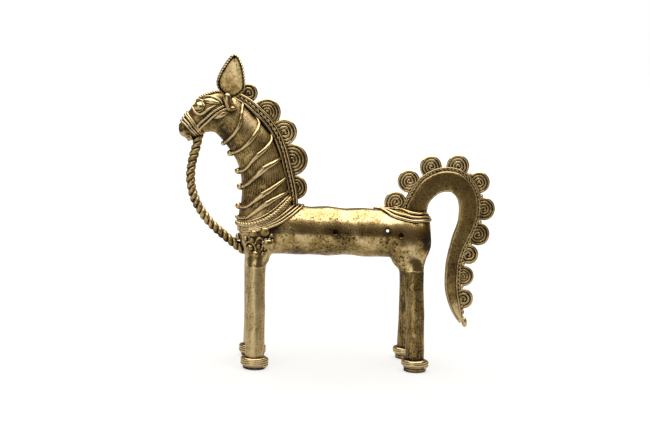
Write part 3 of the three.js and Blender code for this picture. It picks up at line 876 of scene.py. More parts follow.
def material(name):
    """The finish of that name, made when it is first asked for."""
    known = bpy.data.materials.get(name)
    if known:
        return known
    if name in BRASS_FINISHES:
        return brass(name, *BRASS_FINISHES[name])
    return clay(name)


# ---------------------------------------------------------------- settings


def length(name, description, default, **limits):
    """A length property. Its default is in millimetres."""
    settings = dict(name=name, description=description, default=default * MM, unit="LENGTH")
    return FloatProperty(**settings, **limits)


def tint(name, description, code):
    """A colour property. Its default is an sRGB hex code."""
    settings = dict(name=name, description=description, default=linear(code))
    return FloatVectorProperty(**settings, subtype="COLOR")


class HorseSizes(bpy.types.PropertyGroup):
    """Sizes that a maker would change."""

    cast_detail: length(
        "Cast detail", "Size of the facets of the cast body", 0.62, min=0.3 * MM, max=2 * MM
    )
    neck_thread: FloatProperty(
        name="Neck thread",
        description="Factor on the thickness of the threads round the neck",
        default=1.0,
        min=0.5,
        max=1.5,
    )
    rein_radius: length("Rein radius", "Half the thickness of the twisted rein", 3.1)
    tail_rope_radius: length(
        "Tail rope radius", "Half the thickness of the rope along the tail", 1.35
    )
    coil_wire: length("Spiral wire", "Thickness of the wire coiled into spirals", 1.75)
    rump_wires: IntProperty(
        name="Rump wires",
        description="Number of wires bound round the root of the tail",
        default=3,
        min=1,
        max=4,
    )


class HorseFinish(bpy.types.PropertyGroup):
    """Colours of the brass, its oxides and the clay."""

    bright_brass: tint("Bright brass", "Colour of rubbed metal", "#E8CF9B")
    worn_brass: tint("Worn brass", "Colour of metal with a thin tarnish", "#AB9057")
    brown_oxide: tint("Brown oxide", "Colour of old tarnish", "#5B4A2D")
    dark_oxide: tint("Dark oxide", "Colour of the hollows", "#2A2119")
    fired_clay: tint("Fired clay", "Colour of the core", "#9C5A48")
    floor: tint("Floor", "Colour of the floor", "#F4F4F4")


# ---------------------------------------------------------------- the casting


def tube(limb, step=1.5):
    """A round wire that fills most of a limb, to be melted into the body."""
    length = np.linalg.norm(np.diff(limb.centres, axis=0), axis=1).sum()
    shares = np.linspace(0, 1, max(6, round(length / step)))
    return rolled(limb.centre(shares), limb.half(shares).mean(1))


def halved(obj, point, normal):
    """A copy of what is on the side of a plane that its normal points away from."""
    copy = duplicate(obj)
    point = placed([point])[0]

    def cut():
        bpy.ops.mesh.bisect(
            plane_co=point, plane_no=normal, use_fill=True, clear_outer=True, threshold=1e-6
        )

    edit(copy, cut)
    return copy


def flipped(plane):
    point, normal = plane
    return point, tuple(-part for part in normal)


def carved(obj, *cutters):
    for cutter in cutters:
        apply(obj, "BOOLEAN", object=cutter, operation="DIFFERENCE", solver="EXACT")


FEWEST_POINTS = 5000  # of a cast body that has its whole skin
# A point on the seam of each casting and the normal of the seam.
COLLAR_PLANE = ((-62, 0, 3.4), (-0.437, 0, 0.899))
POLL_PLANE = ((-74, 0, 70), (-0.83, 0, 0.56))
THROUGH_PIN_RADIUS, BLIND_PIN_RADIUS = 0.95, 1.7
# Places of the core pins. The one that goes right through also has its lean and drop in degrees.
THROUGH_PIN = (RUMP - 29.4, 3.3, 8.6, 7.5)
BLIND_PINS = [(CHEST + 59.3, 1.4), (RUMP - 20.3, 0.6)]
SLOT_LENGTH, SLOT_WIDTH = 44.0, 3.2
CUT_DEPTH = 8  # of the seam and the blind holes, well into the clay

NECK_RADIUS = 11.5  # at its middle, to turn an angle into a length
COMB_SLANT = 21.0  # how far round the comb wanders from the chest to the poll

# Patches painted darker, or lighter where the depth is negative: x and z on the side, reach and
# depth. Round the core pins they are oxide; the others are painted shade, a painted highlight
# and a patch made lighter, as noted at each.
TORSO_STAINS_AND_SHADE = [
    (THROUGH_PIN[0], THROUGH_PIN[1], 3.2, 1.0),
    (BLIND_PINS[0][0], BLIND_PINS[0][1], 3.6, 1.0),
    (BLIND_PINS[1][0], BLIND_PINS[1][1], 2.8, 1.0),
    # Painted shade on the back of the rump, inside the tail's arch, and under the collar.
    (RUMP, -3, 8, 1.0),
    (CHEST + 18, 3, 6, 1.0),
]
# Painted shade: in the nostril, in the creases of the mouth, between the ear and the brow, and round
# the cheek strap.
HEAD_PAINTED_SHADE = [
    (-100.8, 61.6, 1.3, 1.0),
    (-97, 62.8, 2.0, 1.0),
    (-96.2, 58.8, 1.4, 1.0),
    (-76.5, 82, 2.8, 0.8),
    (-84, 71.5, 4, 0.5),
    (-78.5, 67.5, 3.5, 0.4),
]
# A painted highlight on the upper neck, below the mane.
NECK_PAINTED_HIGHLIGHT = [(-62, 66, 9, -0.3)]
# A patch made lighter, at the lower end of the tail.
TAIL_LIGHTER_PATCH = [(84, -51, 8, -1.2)]


def stain_and_painted_light(obj, stains):
    """Notes at each point how much darker or lighter it is painted: oxide round the pins, painted
    shade, a painted highlight and a lighter patch.
    """
    x, _, z = measured(obj).T
    dark = np.zeros(len(x))
    for stain_x, stain_z, reach, depth in stains:
        dark += depth * np.exp(-((x - stain_x) ** 2 + (z - stain_z) ** 2) / reach**2)
    mark = obj.data.attributes.new("stain_and_painted_light", "FLOAT", "POINT")
    mark.data.foreach_set("value", dark.astype(np.float32))


def pin_cutter(x, z, radius, length, lean=0.0, drop=0.0):
    """A drill for a hole in the left side, leaning to the tail and dropping as it goes in."""
    obj = primitive("cylinder", vertices=24, radius=radius * MM, depth=length * MM)
    turn = Matrix.Rotation(math.radians(-lean), 4, "Z")
    turn = turn @ Matrix.Rotation(math.radians(-drop), 4, "X") @ Matrix.Rotation(math.pi / 2, 4, "X")
    spot = Matrix.Translation(placed([(x, -BODY_RADIUS, z)])[0])
    obj.data.transform(spot @ turn)
    return obj


def slot_cutter():
    """The open seam under the belly, with the ragged edge of torn wax."""
    obj = primitive("cube", size=1)
    size = Matrix.Diagonal((SLOT_LENGTH * MM, SLOT_WIDTH * MM, CUT_DEPTH * MM, 1))
    middle = ((CHEST + RUMP) / 2, 0, -BODY_RADIUS)
    obj.data.transform(Matrix.Translation(placed([middle])[0]) @ size)
    edit(obj, lambda: bpy.ops.mesh.subdivide(number_cuts=24))
    points = measured(obj)
    x, y, _ = points.T
    ragged = 1 + 0.3 * np.sin(x * 1.1) + 0.22 * np.sin(x * 2.7 + 1)
    points[:, 1] = y * ragged + 0.5 * np.sin(x * 0.35)
    move_to(obj, points)
    return obj


class HORSE_OT_body(bpy.types.Operator):
    """Cast the torso, neck, head and four legs over the clay core"""

    bl_idname = "horse.body"
    bl_label = "Cast body"

    def execute(self, context):
        sizes = context.scene.horse_sizes
        limbs = [torso, neck, head, *legs.values()]
        blank = wires([tube(limb) for limb in limbs], sides=16)
        apply(blank, "REMESH", mode="VOXEL", voxel_size=sizes.cast_detail)
        move_to(blank, settle(measured(blank), steps=9))
        if len(blank.data.vertices) < FEWEST_POINTS:
            raise RuntimeError("the cast body has no skin: the remesh gave too few points")

        cavity = duplicate(frame["nodes"]["clay_core"])
        cavity.parent = None
        cavity.data.materials.clear()
        edit(cavity, lambda: bpy.ops.mesh.remove_doubles(threshold=1e-6))
        edit(cavity, lambda: bpy.ops.transform.shrink_fatten(value=GAP * MM))
        x, z, lean, drop = THROUGH_PIN
        through_pin = pin_cutter(x, z, THROUGH_PIN_RADIUS, 5 * BODY_RADIUS, lean, drop)
        blind = [pin_cutter(px, pz, BLIND_PIN_RADIUS, CUT_DEPTH) for px, pz in BLIND_PINS]
        slot = slot_cutter()

        upper = halved(blank, (0, 0, LEG_SEAM), (0, 0, -1))
        trunk = halved(upper, *COLLAR_PLANE)
        carved(trunk, cavity, through_pin, slot, *blind)
        stain_and_painted_light(trunk, TORSO_STAINS_AND_SHADE)
        finished(trunk, "torso", "brass, cast and burnished", "torso_shell")

        above = halved(upper, *flipped(COLLAR_PLANE))
        throat = halved(above, *POLL_PLANE)
        skull = halved(above, *flipped(POLL_PLANE))
        carved(throat, cavity)
        self.comb(throat)
        stain_and_painted_light(throat, NECK_PAINTED_HIGHLIGHT)
        finished(throat, "neck", "brass, cast over combed wax", "neck_shell")
        stain_and_painted_light(skull, HEAD_PAINTED_SHADE)
        finished(skull, "head", "brass, cast head")

        shanks = halved(blank, (0, 0, LEG_SEAM), (0, 0, 1))
        middle = (RUMP + CHEST) / 2
        for end, side in legs:
            foot_x, _, pad, *_ = FEET[end]
            forward = 1 if foot_x < middle else -1
            pair = halved(shanks, (middle, 0, 0), (forward, 0, 0))
            shank = halved(pair, (0, 0, 0), (0, -side, 0))
            leg = halved(shank, (0, 0, FLOOR + pad + GAP), (0, 0, -1))
            remove(pair, shank)
            finish = "brass, cast leg" if end == "front" else "brass, cast leg left dark"
            finished(leg, f"leg.{leg_name(end, side)}", finish)
        remove(blank, upper, above, shanks, cavity, through_pin, slot, *blind)
        return {"FINISHED"}

    @staticmethod
    def comb(obj):
        """Notes how far round the neck each point is, in millimetres, for the comb marks."""
        points = measured(obj)
        shares = np.linspace(0, 1, 80)
        centres = neck.centre(shares)
        _, out = neck.frame(shares)
        nearest = ((points[:, None] - centres[None]) ** 2).sum(2).argmin(1)
        away = points - centres[nearest]
        deep = (away * out[nearest]).sum(1)
        angle = np.arctan2(away[:, 1], deep)
        values = np.abs(angle) * NECK_RADIUS + COMB_SLANT * shares[nearest]
        mark = obj.data.attributes.new("round_the_neck", "FLOAT", "POINT")
        mark.data.foreach_set("value", values.astype(np.float32))


class HORSE_OT_feet(bpy.types.Operator):
    """Wind the wire round each foot, over its pad"""

    bl_idname = "horse.feet"
    bl_label = "Feet"

    def execute(self, context):
        for end, side in legs:
            place = leg_name(end, side)
            x, _, pad, thickness, turns = FEET[end]
            y = side * FOOT_SPREAD
            self.pad(place, x, y, pad)
            self.winding(place, x, y, pad, thickness, turns)
        return {"FINISHED"}

    def pad(self, place, x, y, height):
        """The sole: a pressed disc of wax, a little uneven at its rim."""
        obj = primitive("cylinder", vertices=48, radius=PAD_RADIUS * MM, depth=height * MM)
        obj.data.transform(Matrix.Translation(placed([(x, y, FLOOR + height / 2)])[0]))
        apply(obj, "BEVEL", width=0.35 * MM, segments=3)
        points = measured(obj)
        angle = np.arctan2(points[:, 1] - y, points[:, 0] - x)
        grow = 1 + 0.02 * np.sin(3 * angle + x) + 0.012 * np.sin(8 * angle + y)
        points[:, 0] = x + (points[:, 0] - x) * grow
        points[:, 1] = y + (points[:, 1] - y) * grow
        move_to(obj, points)
        finished(
            obj, f"foot_pad.{place}", "brass, coiled thread left dark", smooth=False
        )

    def winding(self, place, x, y, pad, thickness, turns):
        """Wire wound round the foot, its last end laid up over the turns, on a thin sleeve."""
        r = thickness / 2
        low = FLOOR + pad + GAP
        ring = FOOT_RADIUS - r
        angle = np.linspace(-0.2, 2 * math.pi * turns, 40 * turns)
        climb = np.clip(angle / (2 * math.pi * turns), 0, 1) * (turns - 1) * thickness
        out = ring - 0.25 * np.clip(angle - angle[-1] + 1, 0, 1)
        line = np.column_stack(
            [x + out * np.cos(angle - 0.6), y + out * np.sin(angle - 0.6), low + r + climb]
        )
        coil = wires([rolled(line, r * 1.02, seed=x)], sides=10)
        inner, outer = LEG_RADIUS + 0.25, ring - 0.1
        top = low + turns * thickness - 0.5 * r
        profile = [(inner, low + 0.1), (outer, low + 0.1), (outer, top - 0.4), (inner, top)]
        rings = np.array([circle(40) * radius + (x, y, z) for radius, z in profile + profile[:1]])
        sleeve = bent_grid(rings)
        edit(sleeve, weld)
        finished(
            joined(coil, sleeve), f"foot_winding.{place}", "brass, rubbed thread"
        )


# ---------------------------------------------------------------- collar, neck and mane

# Wires of the fan: how far each lies below the rope, and how much further back it spreads.
COLLAR_FAN = [(1.9, 0.6), (3.3, 2.9), (4.7, 5.2), (6.0, 7.6)]


class HORSE_OT_collar(bpy.types.Operator):
    """Lay the collar: a twisted rope between wires, and a fan of wires below it"""

    bl_idname = "horse.collar"
    bl_label = "Collar"

    def execute(self, context):
        line = round_both(
            (-63.1, 3.6),
            [(-60.2, 4.2), (-56.5, 4.4), (-49.4, 6.6), (-41.5, 11.2), (-36.6, 15.6), (-32.6, 19.6)],
            (-26.4, 21.8),
            0.9,
        )
        rope = wires(twisted(line, radius=1.6, pitch=3.7, closed=True), sides=10)
        upper = settle(line + (-0.9, 0, 2.1), 0.45)
        trim = wires([rolled(upper, 0.62, closed=True)], sides=8)
        finished(joined(rope, trim), "collar_rope", "brass, rubbed thread")
        fan = []
        for k, (drop, spread) in enumerate(COLLAR_FAN):
            share = np.clip((line[:, 0] + 63) / 38, 0, 1)[:, None]
            below = line + np.array((0.45, 0, -0.9)) * (drop * (0.75 + 0.1 * share))
            below = below + np.array((1, 0, -0.35)) * share**2 * spread
            fan.append(rolled(settle(below, 0.5), 0.72, closed=True, seed=k))
        finished(wires(fan), "collar_fan", "brass, rubbed thread", "collar_band")
        return {"FINISHED"}


class HORSE_OT_neck_threads(bpy.types.Operator):
    """Lay the six threads round the neck, each with a pellet on the throat"""

    bl_idname = "horse.neck_threads"
    bl_label = "Neck threads"

    def execute(self, context):
        factor = context.scene.horse_sizes.neck_thread
        threads = zip(NECK_THREADS, THROAT_ENDS, THREAD_FORMS)
        for k, (places, throat, (middle, share, knob)) in enumerate(threads):
            line = over_throat(places, throat, 0.55)
            # Thickest on the sides of the neck, about half way from the throat to the crest.
            from_side = (np.abs(np.linspace(-1, 1, len(line))) - 0.52) / 0.3
            radii = THREAD_END + (middle - THREAD_END) * np.exp(-(from_side**2))
            thread = wires([rolled(line, radii * factor, seed=k)], sides=10)
            press(thread, lift=0.2, share=share)
            front = settle([(throat[0], 0, throat[1])], 0.9)[0]
            bump = pellet(front, knob, (1, 1, 0.9))
            finished(
                joined(thread, bump), f"neck_thread.{k + 1}", "brass, rubbed thread",
            )
        return {"FINISHED"}


MANE_START, MANE_END = 0.19, 1.0
MANE_DEPTH = 3.5
# The core of the band: how far it goes out of its middle line and into the neck, and its width.
BAND_ABOVE, BAND_BELOW, BAND_HALF_WIDTH = 1.7, 4.4, 1.9
MANE_COIL_FINISHES = [
    "brass, coiled thread left dark",
    "brass, coiled thread",
    "brass, rubbed thread",
    "brass, coiled thread left dark",
    "brass, coiled thread left dark",
]
TAIL_COIL_FINISHES = [
    *2 * ["brass, rubbed thread"],
    *2 * ["brass, coiled thread"],
    *6 * ["brass, coiled thread left dark"],
]
COIL_SPREAD, COIL_THICKNESS = 1.09, 1.25  # of a master, as factors on the radius


def coil_masters():
    """A spiral of radius 1 for each number of turns, with the thin web of wax that holds it."""
    made = {}
    for turns in (3, 4, 5):
        web = np.array([(0.9, 0.0), (0.88, 0.03), (0.5, 0.035), (0.02, 0.04)])
        profile = np.vstack([web[::-1] * (1, -1), web])
        rings = np.array([circle(40)[:, (0, 2, 1)] * r + (0, y, 0) for r, y in profile])
        made[turns] = joined(wires([spiral(turns)], sides=10), wrapped(rings))
    return made


def coil_copy(master, centre, out, radius):
    """A spiral of the wanted radius, its end turned into the band that it stands on."""
    obj = duplicate(master)
    wide, thick = COIL_SPREAD * radius, COIL_THICKNESS * radius
    size = Matrix.Diagonal((wide, thick, wide, 1))
    lean = Matrix.Rotation(0.06 * math.sin(5 * radius + centre[2]), 4, "Z")
    spin = Matrix.Rotation(math.atan2(out[2], -out[0]) + 0.15 * math.sin(centre[0]), 4, "Y")
    ground = Matrix.Translation((0, 0, AXIS_HEIGHT * MM))
    spot = Matrix.Translation(placed([centre])[0])
    obj.data.transform(spot @ lean @ spin @ size @ ground.inverted())
    return obj


def lay_spirals(coils, finishes, wire, spot, name, node):
    """The spirals of a band. The spot gives a centre and the way back into the band."""
    masters = coil_masters()
    for k, ((share, offset, radius), finish) in enumerate(zip(coils, finishes), start=1):
        turns = min(masters, key=lambda n: abs(n * wire - radius))
        coil = coil_copy(masters[turns], *spot(share, offset), radius)
        finished(coil, name.format(k), finish, node.format(k))
    remove(*masters.values())


class HORSE_OT_mane(bpy.types.Operator):
    """Lay the band along the crest, two wires with a chain of thread between, and its spirals"""

    bl_idname = "horse.mane"
    bl_label = "Mane"

    def execute(self, context):
        wire = context.scene.horse_sizes.coil_wire / MM
        shares = np.linspace(MANE_START, MANE_END, 60)
        # The band stands furthest from the neck a little past the middle of its length.
        bulge = 0.3 + 1.7 * np.exp(-(((shares - 0.63) / 0.2) ** 2))
        middle = neck.point(shares, 0, GAP + MANE_DEPTH / 2 + bulge)
        _, out = neck.frame(shares)
        deep, wide = oval(20, 0.6, 0.6)
        deep = deep * np.where(deep > 0, BAND_ABOVE, BAND_BELOW)
        rings = middle[:, None] + out[:, None] * deep[None, :, None]
        rings = rings + np.array((0, BAND_HALF_WIDTH, 0)) * wide[None, :, None]
        parts = [wrapped(rings)]
        lines = []
        for side in (LEFT, RIGHT):
            beside = middle + (0, side * 2.2, 0)
            lines.append(rolled(beside - out * 2.1 + (0, side * 0.3, 0), 0.9, seed=1))
            lines.append(rolled(beside + out * 2.0 + (0, side * 0.3, 0), 0.9, seed=2))
            lines += twisted(beside + (0, side * 0.2, 0), radius=0.95, pitch=6.4, seed=3)
        parts.append(wires(lines, sides=8))
        finished(joined(*parts), "mane_band", "brass, rubbed thread")

        def spot(share, offset):
            centre = neck.point(share, 0, GAP + MANE_DEPTH + offset)[0]
            return centre, neck.frame(share)[1][0]

        names = "mane_spiral.{}", "mane_coil_{}"
        lay_spirals(MANE_COILS, MANE_COIL_FINISHES, wire, spot, *names)
        return {"FINISHED"}


# ---------------------------------------------------------------- tail

ROPE_START, ROPE_END = 0.045, 0.95
RUMP_BINDING = [
    [(26.5, 16.9), (34.5, 12), (42.4, 9.9), (50.3, 9.1), (57.3, 9.3)],
    [(28.5, 17.2), (36.5, 13.5), (44.4, 11.8), (51.2, 11), (57.4, 11.1)],
    [(31, 17.3), (38.2, 15.4), (46.1, 13.8), (52.4, 13), (57.2, 12.9)],
]


def rim(share, lift=0.0):
    return tail_strip.point(share, math.pi, lift)


class HORSE_OT_tail(bpy.types.Operator):
    """Form the arched tail: its plate and edge wires, its rope, its bindings and its spirals"""

    bl_idname = "horse.tail"
    bl_label = "Tail"

    def execute(self, context):
        sizes = context.scene.horse_sizes
        rope = sizes.tail_rope_radius / MM
        self.plate(rope)
        self.rope(rope)
        self.binding(sizes.rump_wires)

        def spot(share, offset):
            return rim(share, offset)[0], -tail_strip.frame(share)[1][0]

        names = "tail_spiral.{:02d}", "tail_coil_{}"
        lay_spirals(TAIL_COILS, TAIL_COIL_FINISHES, sizes.coil_wire / MM, spot, *names)
        return {"FINISHED"}

    def plate(self, rope):
        shares = np.linspace(0, 1, 150)
        half = tail_strip.half(shares)
        _, out = tail_strip.frame(shares)
        # The plate draws back from the rim as far as the rope covers it.
        edge = (rope * 0.8 - 0.3) * np.clip((ROPE_END + 0.03 - shares) / 0.03, 0, 1)
        depth = half[:, 0] - edge
        centre = tail_strip.point(shares, math.pi, -half[:, 0] - edge)
        deep, wide = oval(28, 0.75, 0.45)
        rings = centre[:, None] + out[:, None] * (depth[:, None] * deep[None])[:, :, None]
        rings = rings + np.array((0, 1, 0)) * (half[:, 1:] * wide[None])[:, :, None]
        parts = [wrapped(rings)]
        lines = []
        for side in (LEFT, RIGHT):
            run = slice(8, 146)
            inner = centre + out * (depth - 0.55)[:, None] + (0, side * 1.9, 0)
            outer = rim(shares, 0.5 - 2.35 * rope) + (0, side * 2.1, 0)
            lines.append(rolled(inner[run], 0.55, seed=1))
            lines.append(rolled(outer[8:140], 0.55, seed=2))
        parts.append(wires(lines, sides=8))
        knob = tail_strip.centre(1.0)[0] + (1.7, 0, -0.2)
        parts.append(pellet(knob, 2.3, (1.0, 0.8, 1.5), facing((0.2, 0, -1))))
        plate = joined(*parts)
        stain_and_painted_light(plate, TAIL_LIGHTER_PATCH)
        finished(plate, "tail_plate", "brass, plate left dark", "tail")

    def rope(self, radius):
        shares = np.linspace(ROPE_START, ROPE_END, 90)
        line = rim(shares, 0.4 - radius)
        lines = twisted(line, radius * 1.05, pitch=5.2)
        outer = rim(shares[:42], 0.3)
        for side in (LEFT, RIGHT):
            lines.append(rolled(outer + (0, side * 1.1, 0), 0.5, seed=4))
        parts = [wires(lines, sides=8)]
        for low, high in zip(TAIL_COILS[3:-1], TAIL_COILS[4:]):
            share = (low[0] + high[0]) / 2
            parts.append(pellet(rim(share, 0.9)[0], 1.5))
        finished(joined(*parts), "tail_rope", "brass, rubbed thread")

    def binding(self, count):
        lines = []
        for k, places in enumerate(RUMP_BINDING[:count]):
            top = (places[0][0] - 2.2, 17.4)
            back = (RUMP + 0.6, places[-1][1] + 0.2)
            lines.append(rolled(round_both(top, places, back, 0.6), 1.0, closed=True, seed=k))
        finished(wires(lines, sides=10), "rump_binding", "brass, rubbed thread")


# ---------------------------------------------------------------- head

# Each wire: its place on the bridge of the nose, its line down the side, its place under the jaw.
NOSE_WIRES = [
    ((-97.8, 73.0), [(-96.8, 72.4), (-94.1, 68.4), (-92.1, 66.2), (-88.4, 61.5)], (-86.4, 60)),
    (
        (-99.1, 71.4),
        [(-98, 70.9), (-94.9, 67.6), (-92.8, 65), (-90.9, 62.6), (-88.6, 59.9)],
        (-87.4, 58.7),
    ),
    ((-100.3, 69.3), [(-99, 68.5), (-96.1, 65.8), (-93.5, 63), (-90.4, 59.6)], (-88.9, 57.8)),
    ((-101, 67.4), [(-100, 66.6), (-97.5, 64.9), (-94.7, 62.2), (-91.9, 59.2)], (-90.4, 57.2)),
]
FORELOCK = [(-89.4, 82.1), (-87, 83.1), (-84, 83.9), (-81.5, 84.1), (-78.6, 83.7), (-75.5, 82.3)]
STRAP_WIRE = [(-90.1, 61.5), (-87.3, 64.9), (-83.8, 68.1), (-80.3, 71.4), (-76.9, 73.9), (-73, 75.8)]
STRAP_ROPE = [(-90.5, 64.1), (-88.5, 66.8), (-85, 69.9), (-81.6, 73.1), (-78.1, 75.6), (-74.6, 77.4)]
STRAP_LEAF = [(-79.9, 69.8), (-76.8, 71.3), (-74, 73), (-71.2, 74.4)]
EYE, EYE_RADIUS = (-89.4, 76.4), 3.0
LOWER_LID = [
    (-93.6, 76.1), (-92.9, 74.5), (-91.6, 72.7), (-89.2, 71.8), (-86.7, 72.8), (-84.5, 74.5),
    (-82.5, 75.9), (-79.8, 77.5),
]
LID_ARCH = [(-93, 76.9), (-92.4, 78.1), (-91.2, 79.6), (-89.2, 80.5), (-86.8, 79.5)]
UPPER_LID = [(-87.6, 79.7), (-84.4, 80.3), (-81, 80), (-77.6, 79.4)]
BROW = [(-91.2, 80.5), (-87.5, 81.9), (-84, 82.6), (-80, 82.3), (-76.6, 80.7), (-75.2, 79.1)]


class HORSE_OT_bridle(bpy.types.Operator):
    """Lay the rein, the nose wires, the serrated forelock and the cheek straps"""

    bl_idname = "horse.bridle"
    bl_label = "Bridle"

    def execute(self, context):
        radius = context.scene.horse_sizes.rein_radius / MM
        line = evenly([(x, 0, z) for x, z in REIN], 1.0)
        finished(
            wires(twisted(line, radius, pitch=8.2), sides=12), "rein_rope",
            "brass, thread left black",
        )
        lines = [
            rolled(round_both(top, places, back, 0.4, THREAD_STEP), 0.68, closed=True, seed=k)
            for k, (top, places, back) in enumerate(NOSE_WIRES)
        ]
        finished(wires(lines), "nose_wires", "brass, rubbed thread", "nose_band")
        ridge = settle([(x, 0, z) for x, z in FORELOCK], 0.7)
        finished(
            wires(twisted(evenly(ridge, 0.6), radius=1.25, pitch=3.0)), "forelock_rope",
            "brass, coiled thread left dark",
        )
        for name, side in SIDES.items():
            lines = [rolled(along_side(STRAP_WIRE, side, 0.5), 0.85)]
            lines += twisted(along_side(STRAP_ROPE, side, 0.5), radius=1.0, pitch=2.6)
            strap = wires(lines)
            leaf_line = along_side(STRAP_LEAF, side, 0.2)
            leaf = wires([rolled(leaf_line, swell(len(leaf_line), middle=1.7, end=0.3))])
            press(leaf, lift=0.2, share=0.6)
            finished(
                joined(strap, leaf), f"cheek_strap.{name}", "brass, rubbed thread"
            )
        return {"FINISHED"}


class HORSE_OT_eyes(bpy.types.Operator):
    """Press the eyes in, each in a ring, with a lower lid, a leaf-shaped upper lid and a brow"""

    bl_idname = "horse.eyes"
    bl_label = "Eyes"

    def execute(self, context):
        for name, side in SIDES.items():
            seat = laid([EYE], side, 0.0)[0]
            _, out = body_field(seat[None])
            turn = facing(out[0])
            ball = pellet(seat + out[0] * 0.7, EYE_RADIUS, (1, 1, 0.85), turn)
            finished(ball, f"eye.{name}", "brass, polished leaf")
            ring = seat + (circle(36) * (EYE_RADIUS + 0.15)) @ np.array(turn).T
            parts = [wires([rolled(settle(ring, 0.35), 0.5, closed=True)])]
            low = along_side(LOWER_LID, side, 0.45)
            arch = along_side(LID_ARCH, side, 0.4)
            brow = along_side(BROW, side, 0.4)
            lids = [
                rolled(low, swell(len(low), middle=1.1, end=0.5)),
                rolled(arch, swell(len(arch), middle=0.8, end=0.5)),
                rolled(brow, swell(len(brow), middle=0.95, end=0.4)),
            ]
            parts.append(wires(lids))
            top = along_side(UPPER_LID, side, 0.3)
            lobe = wires([rolled(top, swell(len(top), middle=2.0, end=0.7, power=0.7))], sides=12)
            press(lobe, lift=0.2, share=0.55)
            parts.append(lobe)
            finished(joined(*parts), f"eyelid.{name}", "brass, rubbed thread")
        return {"FINISHED"}


EAR_THICKNESS = 2.2
EAR_RIM = 1.25  # radius of the rope
EAR_BEVEL, EAR_RISE = 2.3, 0.55  # width of the bevel and how far it lifts the middle
EAR_TURN = math.radians(15)  # each ear opens a little forwards
EAR_AXIS = EAR_BASE[0] + 1.5
EAR_STEM = [(-72.3, 83.4), (-72.2, 81.8), (-71.8, 79.6), (-71.1, 76.6)]


class HORSE_OT_ears(bpy.types.Operator):
    """Form each ear: a bevelled leaf on a stem with a peg, and a twisted rope round its edge"""

    bl_idname = "horse.ears"
    bl_label = "Ears"

    def execute(self, context):
        outline = evenly([(x, 0, z) for x, z in EAR_OUTLINE], 0.7, closed=True)
        outline = outline + (EAR_BASE[0], 0, EAR_BASE[1])
        outwards = np.cross(directions(outline, closed=True), (0, 1, 0))
        outwards *= np.sign((outwards * (outline - outline.mean(0))).sum())
        for name, side in SIDES.items():
            skin = laid([(-73, 80)], side, 0)[0]
            y = side * (abs(skin[1]) + GAP + EAR_THICKNESS / 2)
            self.leaf(name, outline, y, side)
            ring = self.turned(outline + 0.75 * outwards + (0, y - side * 0.5, 0), side)
            finished(
                wires(twisted(ring, EAR_RIM, pitch=3.4, closed=True)), f"ear_rim.{name}",
                "brass, coiled thread",
            )
        return {"FINISHED"}

    @staticmethod
    def turned(points, side):
        """Turns an ear about an upright line, its rear edge outwards."""
        from_axis = points[:, 0] - EAR_AXIS
        moved = points.copy()
        moved[:, 0] = EAR_AXIS + from_axis * math.cos(EAR_TURN)
        moved[:, 1] += side * math.sin(EAR_TURN) * from_axis
        return moved

    def leaf(self, name, outline, y, side):
        """A plate cut to the outline, raised at its middle with a wide bevel round it."""
        obj = primitive("circle", vertices=len(outline), fill_type="NGON")
        move_to(obj, outline + (0, y - EAR_THICKNESS / 4, 0))
        thick = EAR_THICKNESS / 2 * MM

        def build():
            bpy.ops.mesh.extrude_region_move(TRANSFORM_OT_translate={"value": (0, thick, 0)})

        edit(obj, build)
        edit(obj, weld)
        self.raise_faces(obj)
        apply(obj, "BEVEL", width=0.25 * MM, segments=2, limit_method="ANGLE")
        move_to(obj, self.turned(measured(obj), side))
        stem = evenly([(x, y, z) for x, z in EAR_STEM], 0.8)
        parts = [obj, wires([rolled(stem, np.linspace(2.8, 2.3, len(stem)))], sides=12)]
        parts.append(pellet(stem[-1] + (0.8, side * 0.4, -0.5), 2.2, (1.5, 0.85, 0.85)))
        finished(
            joined(*parts), f"ear.{name}", "brass, polished leaf", smooth=False
        )

    @staticmethod
    def raise_faces(obj):
        """Bevels both faces of an ear, its middle left flat."""
        select_only(obj)
        bpy.ops.object.mode_set(mode="EDIT")
        bpy.ops.mesh.select_all(action="DESELECT")
        bpy.ops.object.mode_set(mode="OBJECT")
        for face in obj.data.polygons:
            face.select = abs(face.normal.y) > 0.9
        bpy.ops.object.mode_set(mode="EDIT")
        bpy.ops.mesh.inset(
            thickness=EAR_BEVEL * MM, depth=EAR_RISE * MM, use_individual=True
        )
        bpy.ops.object.mode_set(mode="OBJECT")


# ---------------------------------------------------------------- chest

ROSETTE = (-44.6, -7.4)
CHEST_PELLETS = [
    (-53.4, -0.8, 2.4), (-42.4, -1.9, 1.4), (-58.2, -4.6, 1.7), (-54.3, -5.2, 1.9),
    (-55.0, -10.2, 2.3), (-50.2, -9.2, 1.6), (-52.0, -14.2, 2.4), (-47.2, -13.6, 1.7),
]
CHEST_DISC = (-46.6, 0.6, 3.0)
CHEST_ARCHES = [
    [(-52.2, -7.0), (-50.4, -3.8), (-48, -4.2), (-47.4, -7.6), (-48.4, -11)],
    [(-57.6, -8.8), (-56.6, -6.4), (-53.2, -7.6), (-51.6, -11.6), (-52.4, -15.4)],
]


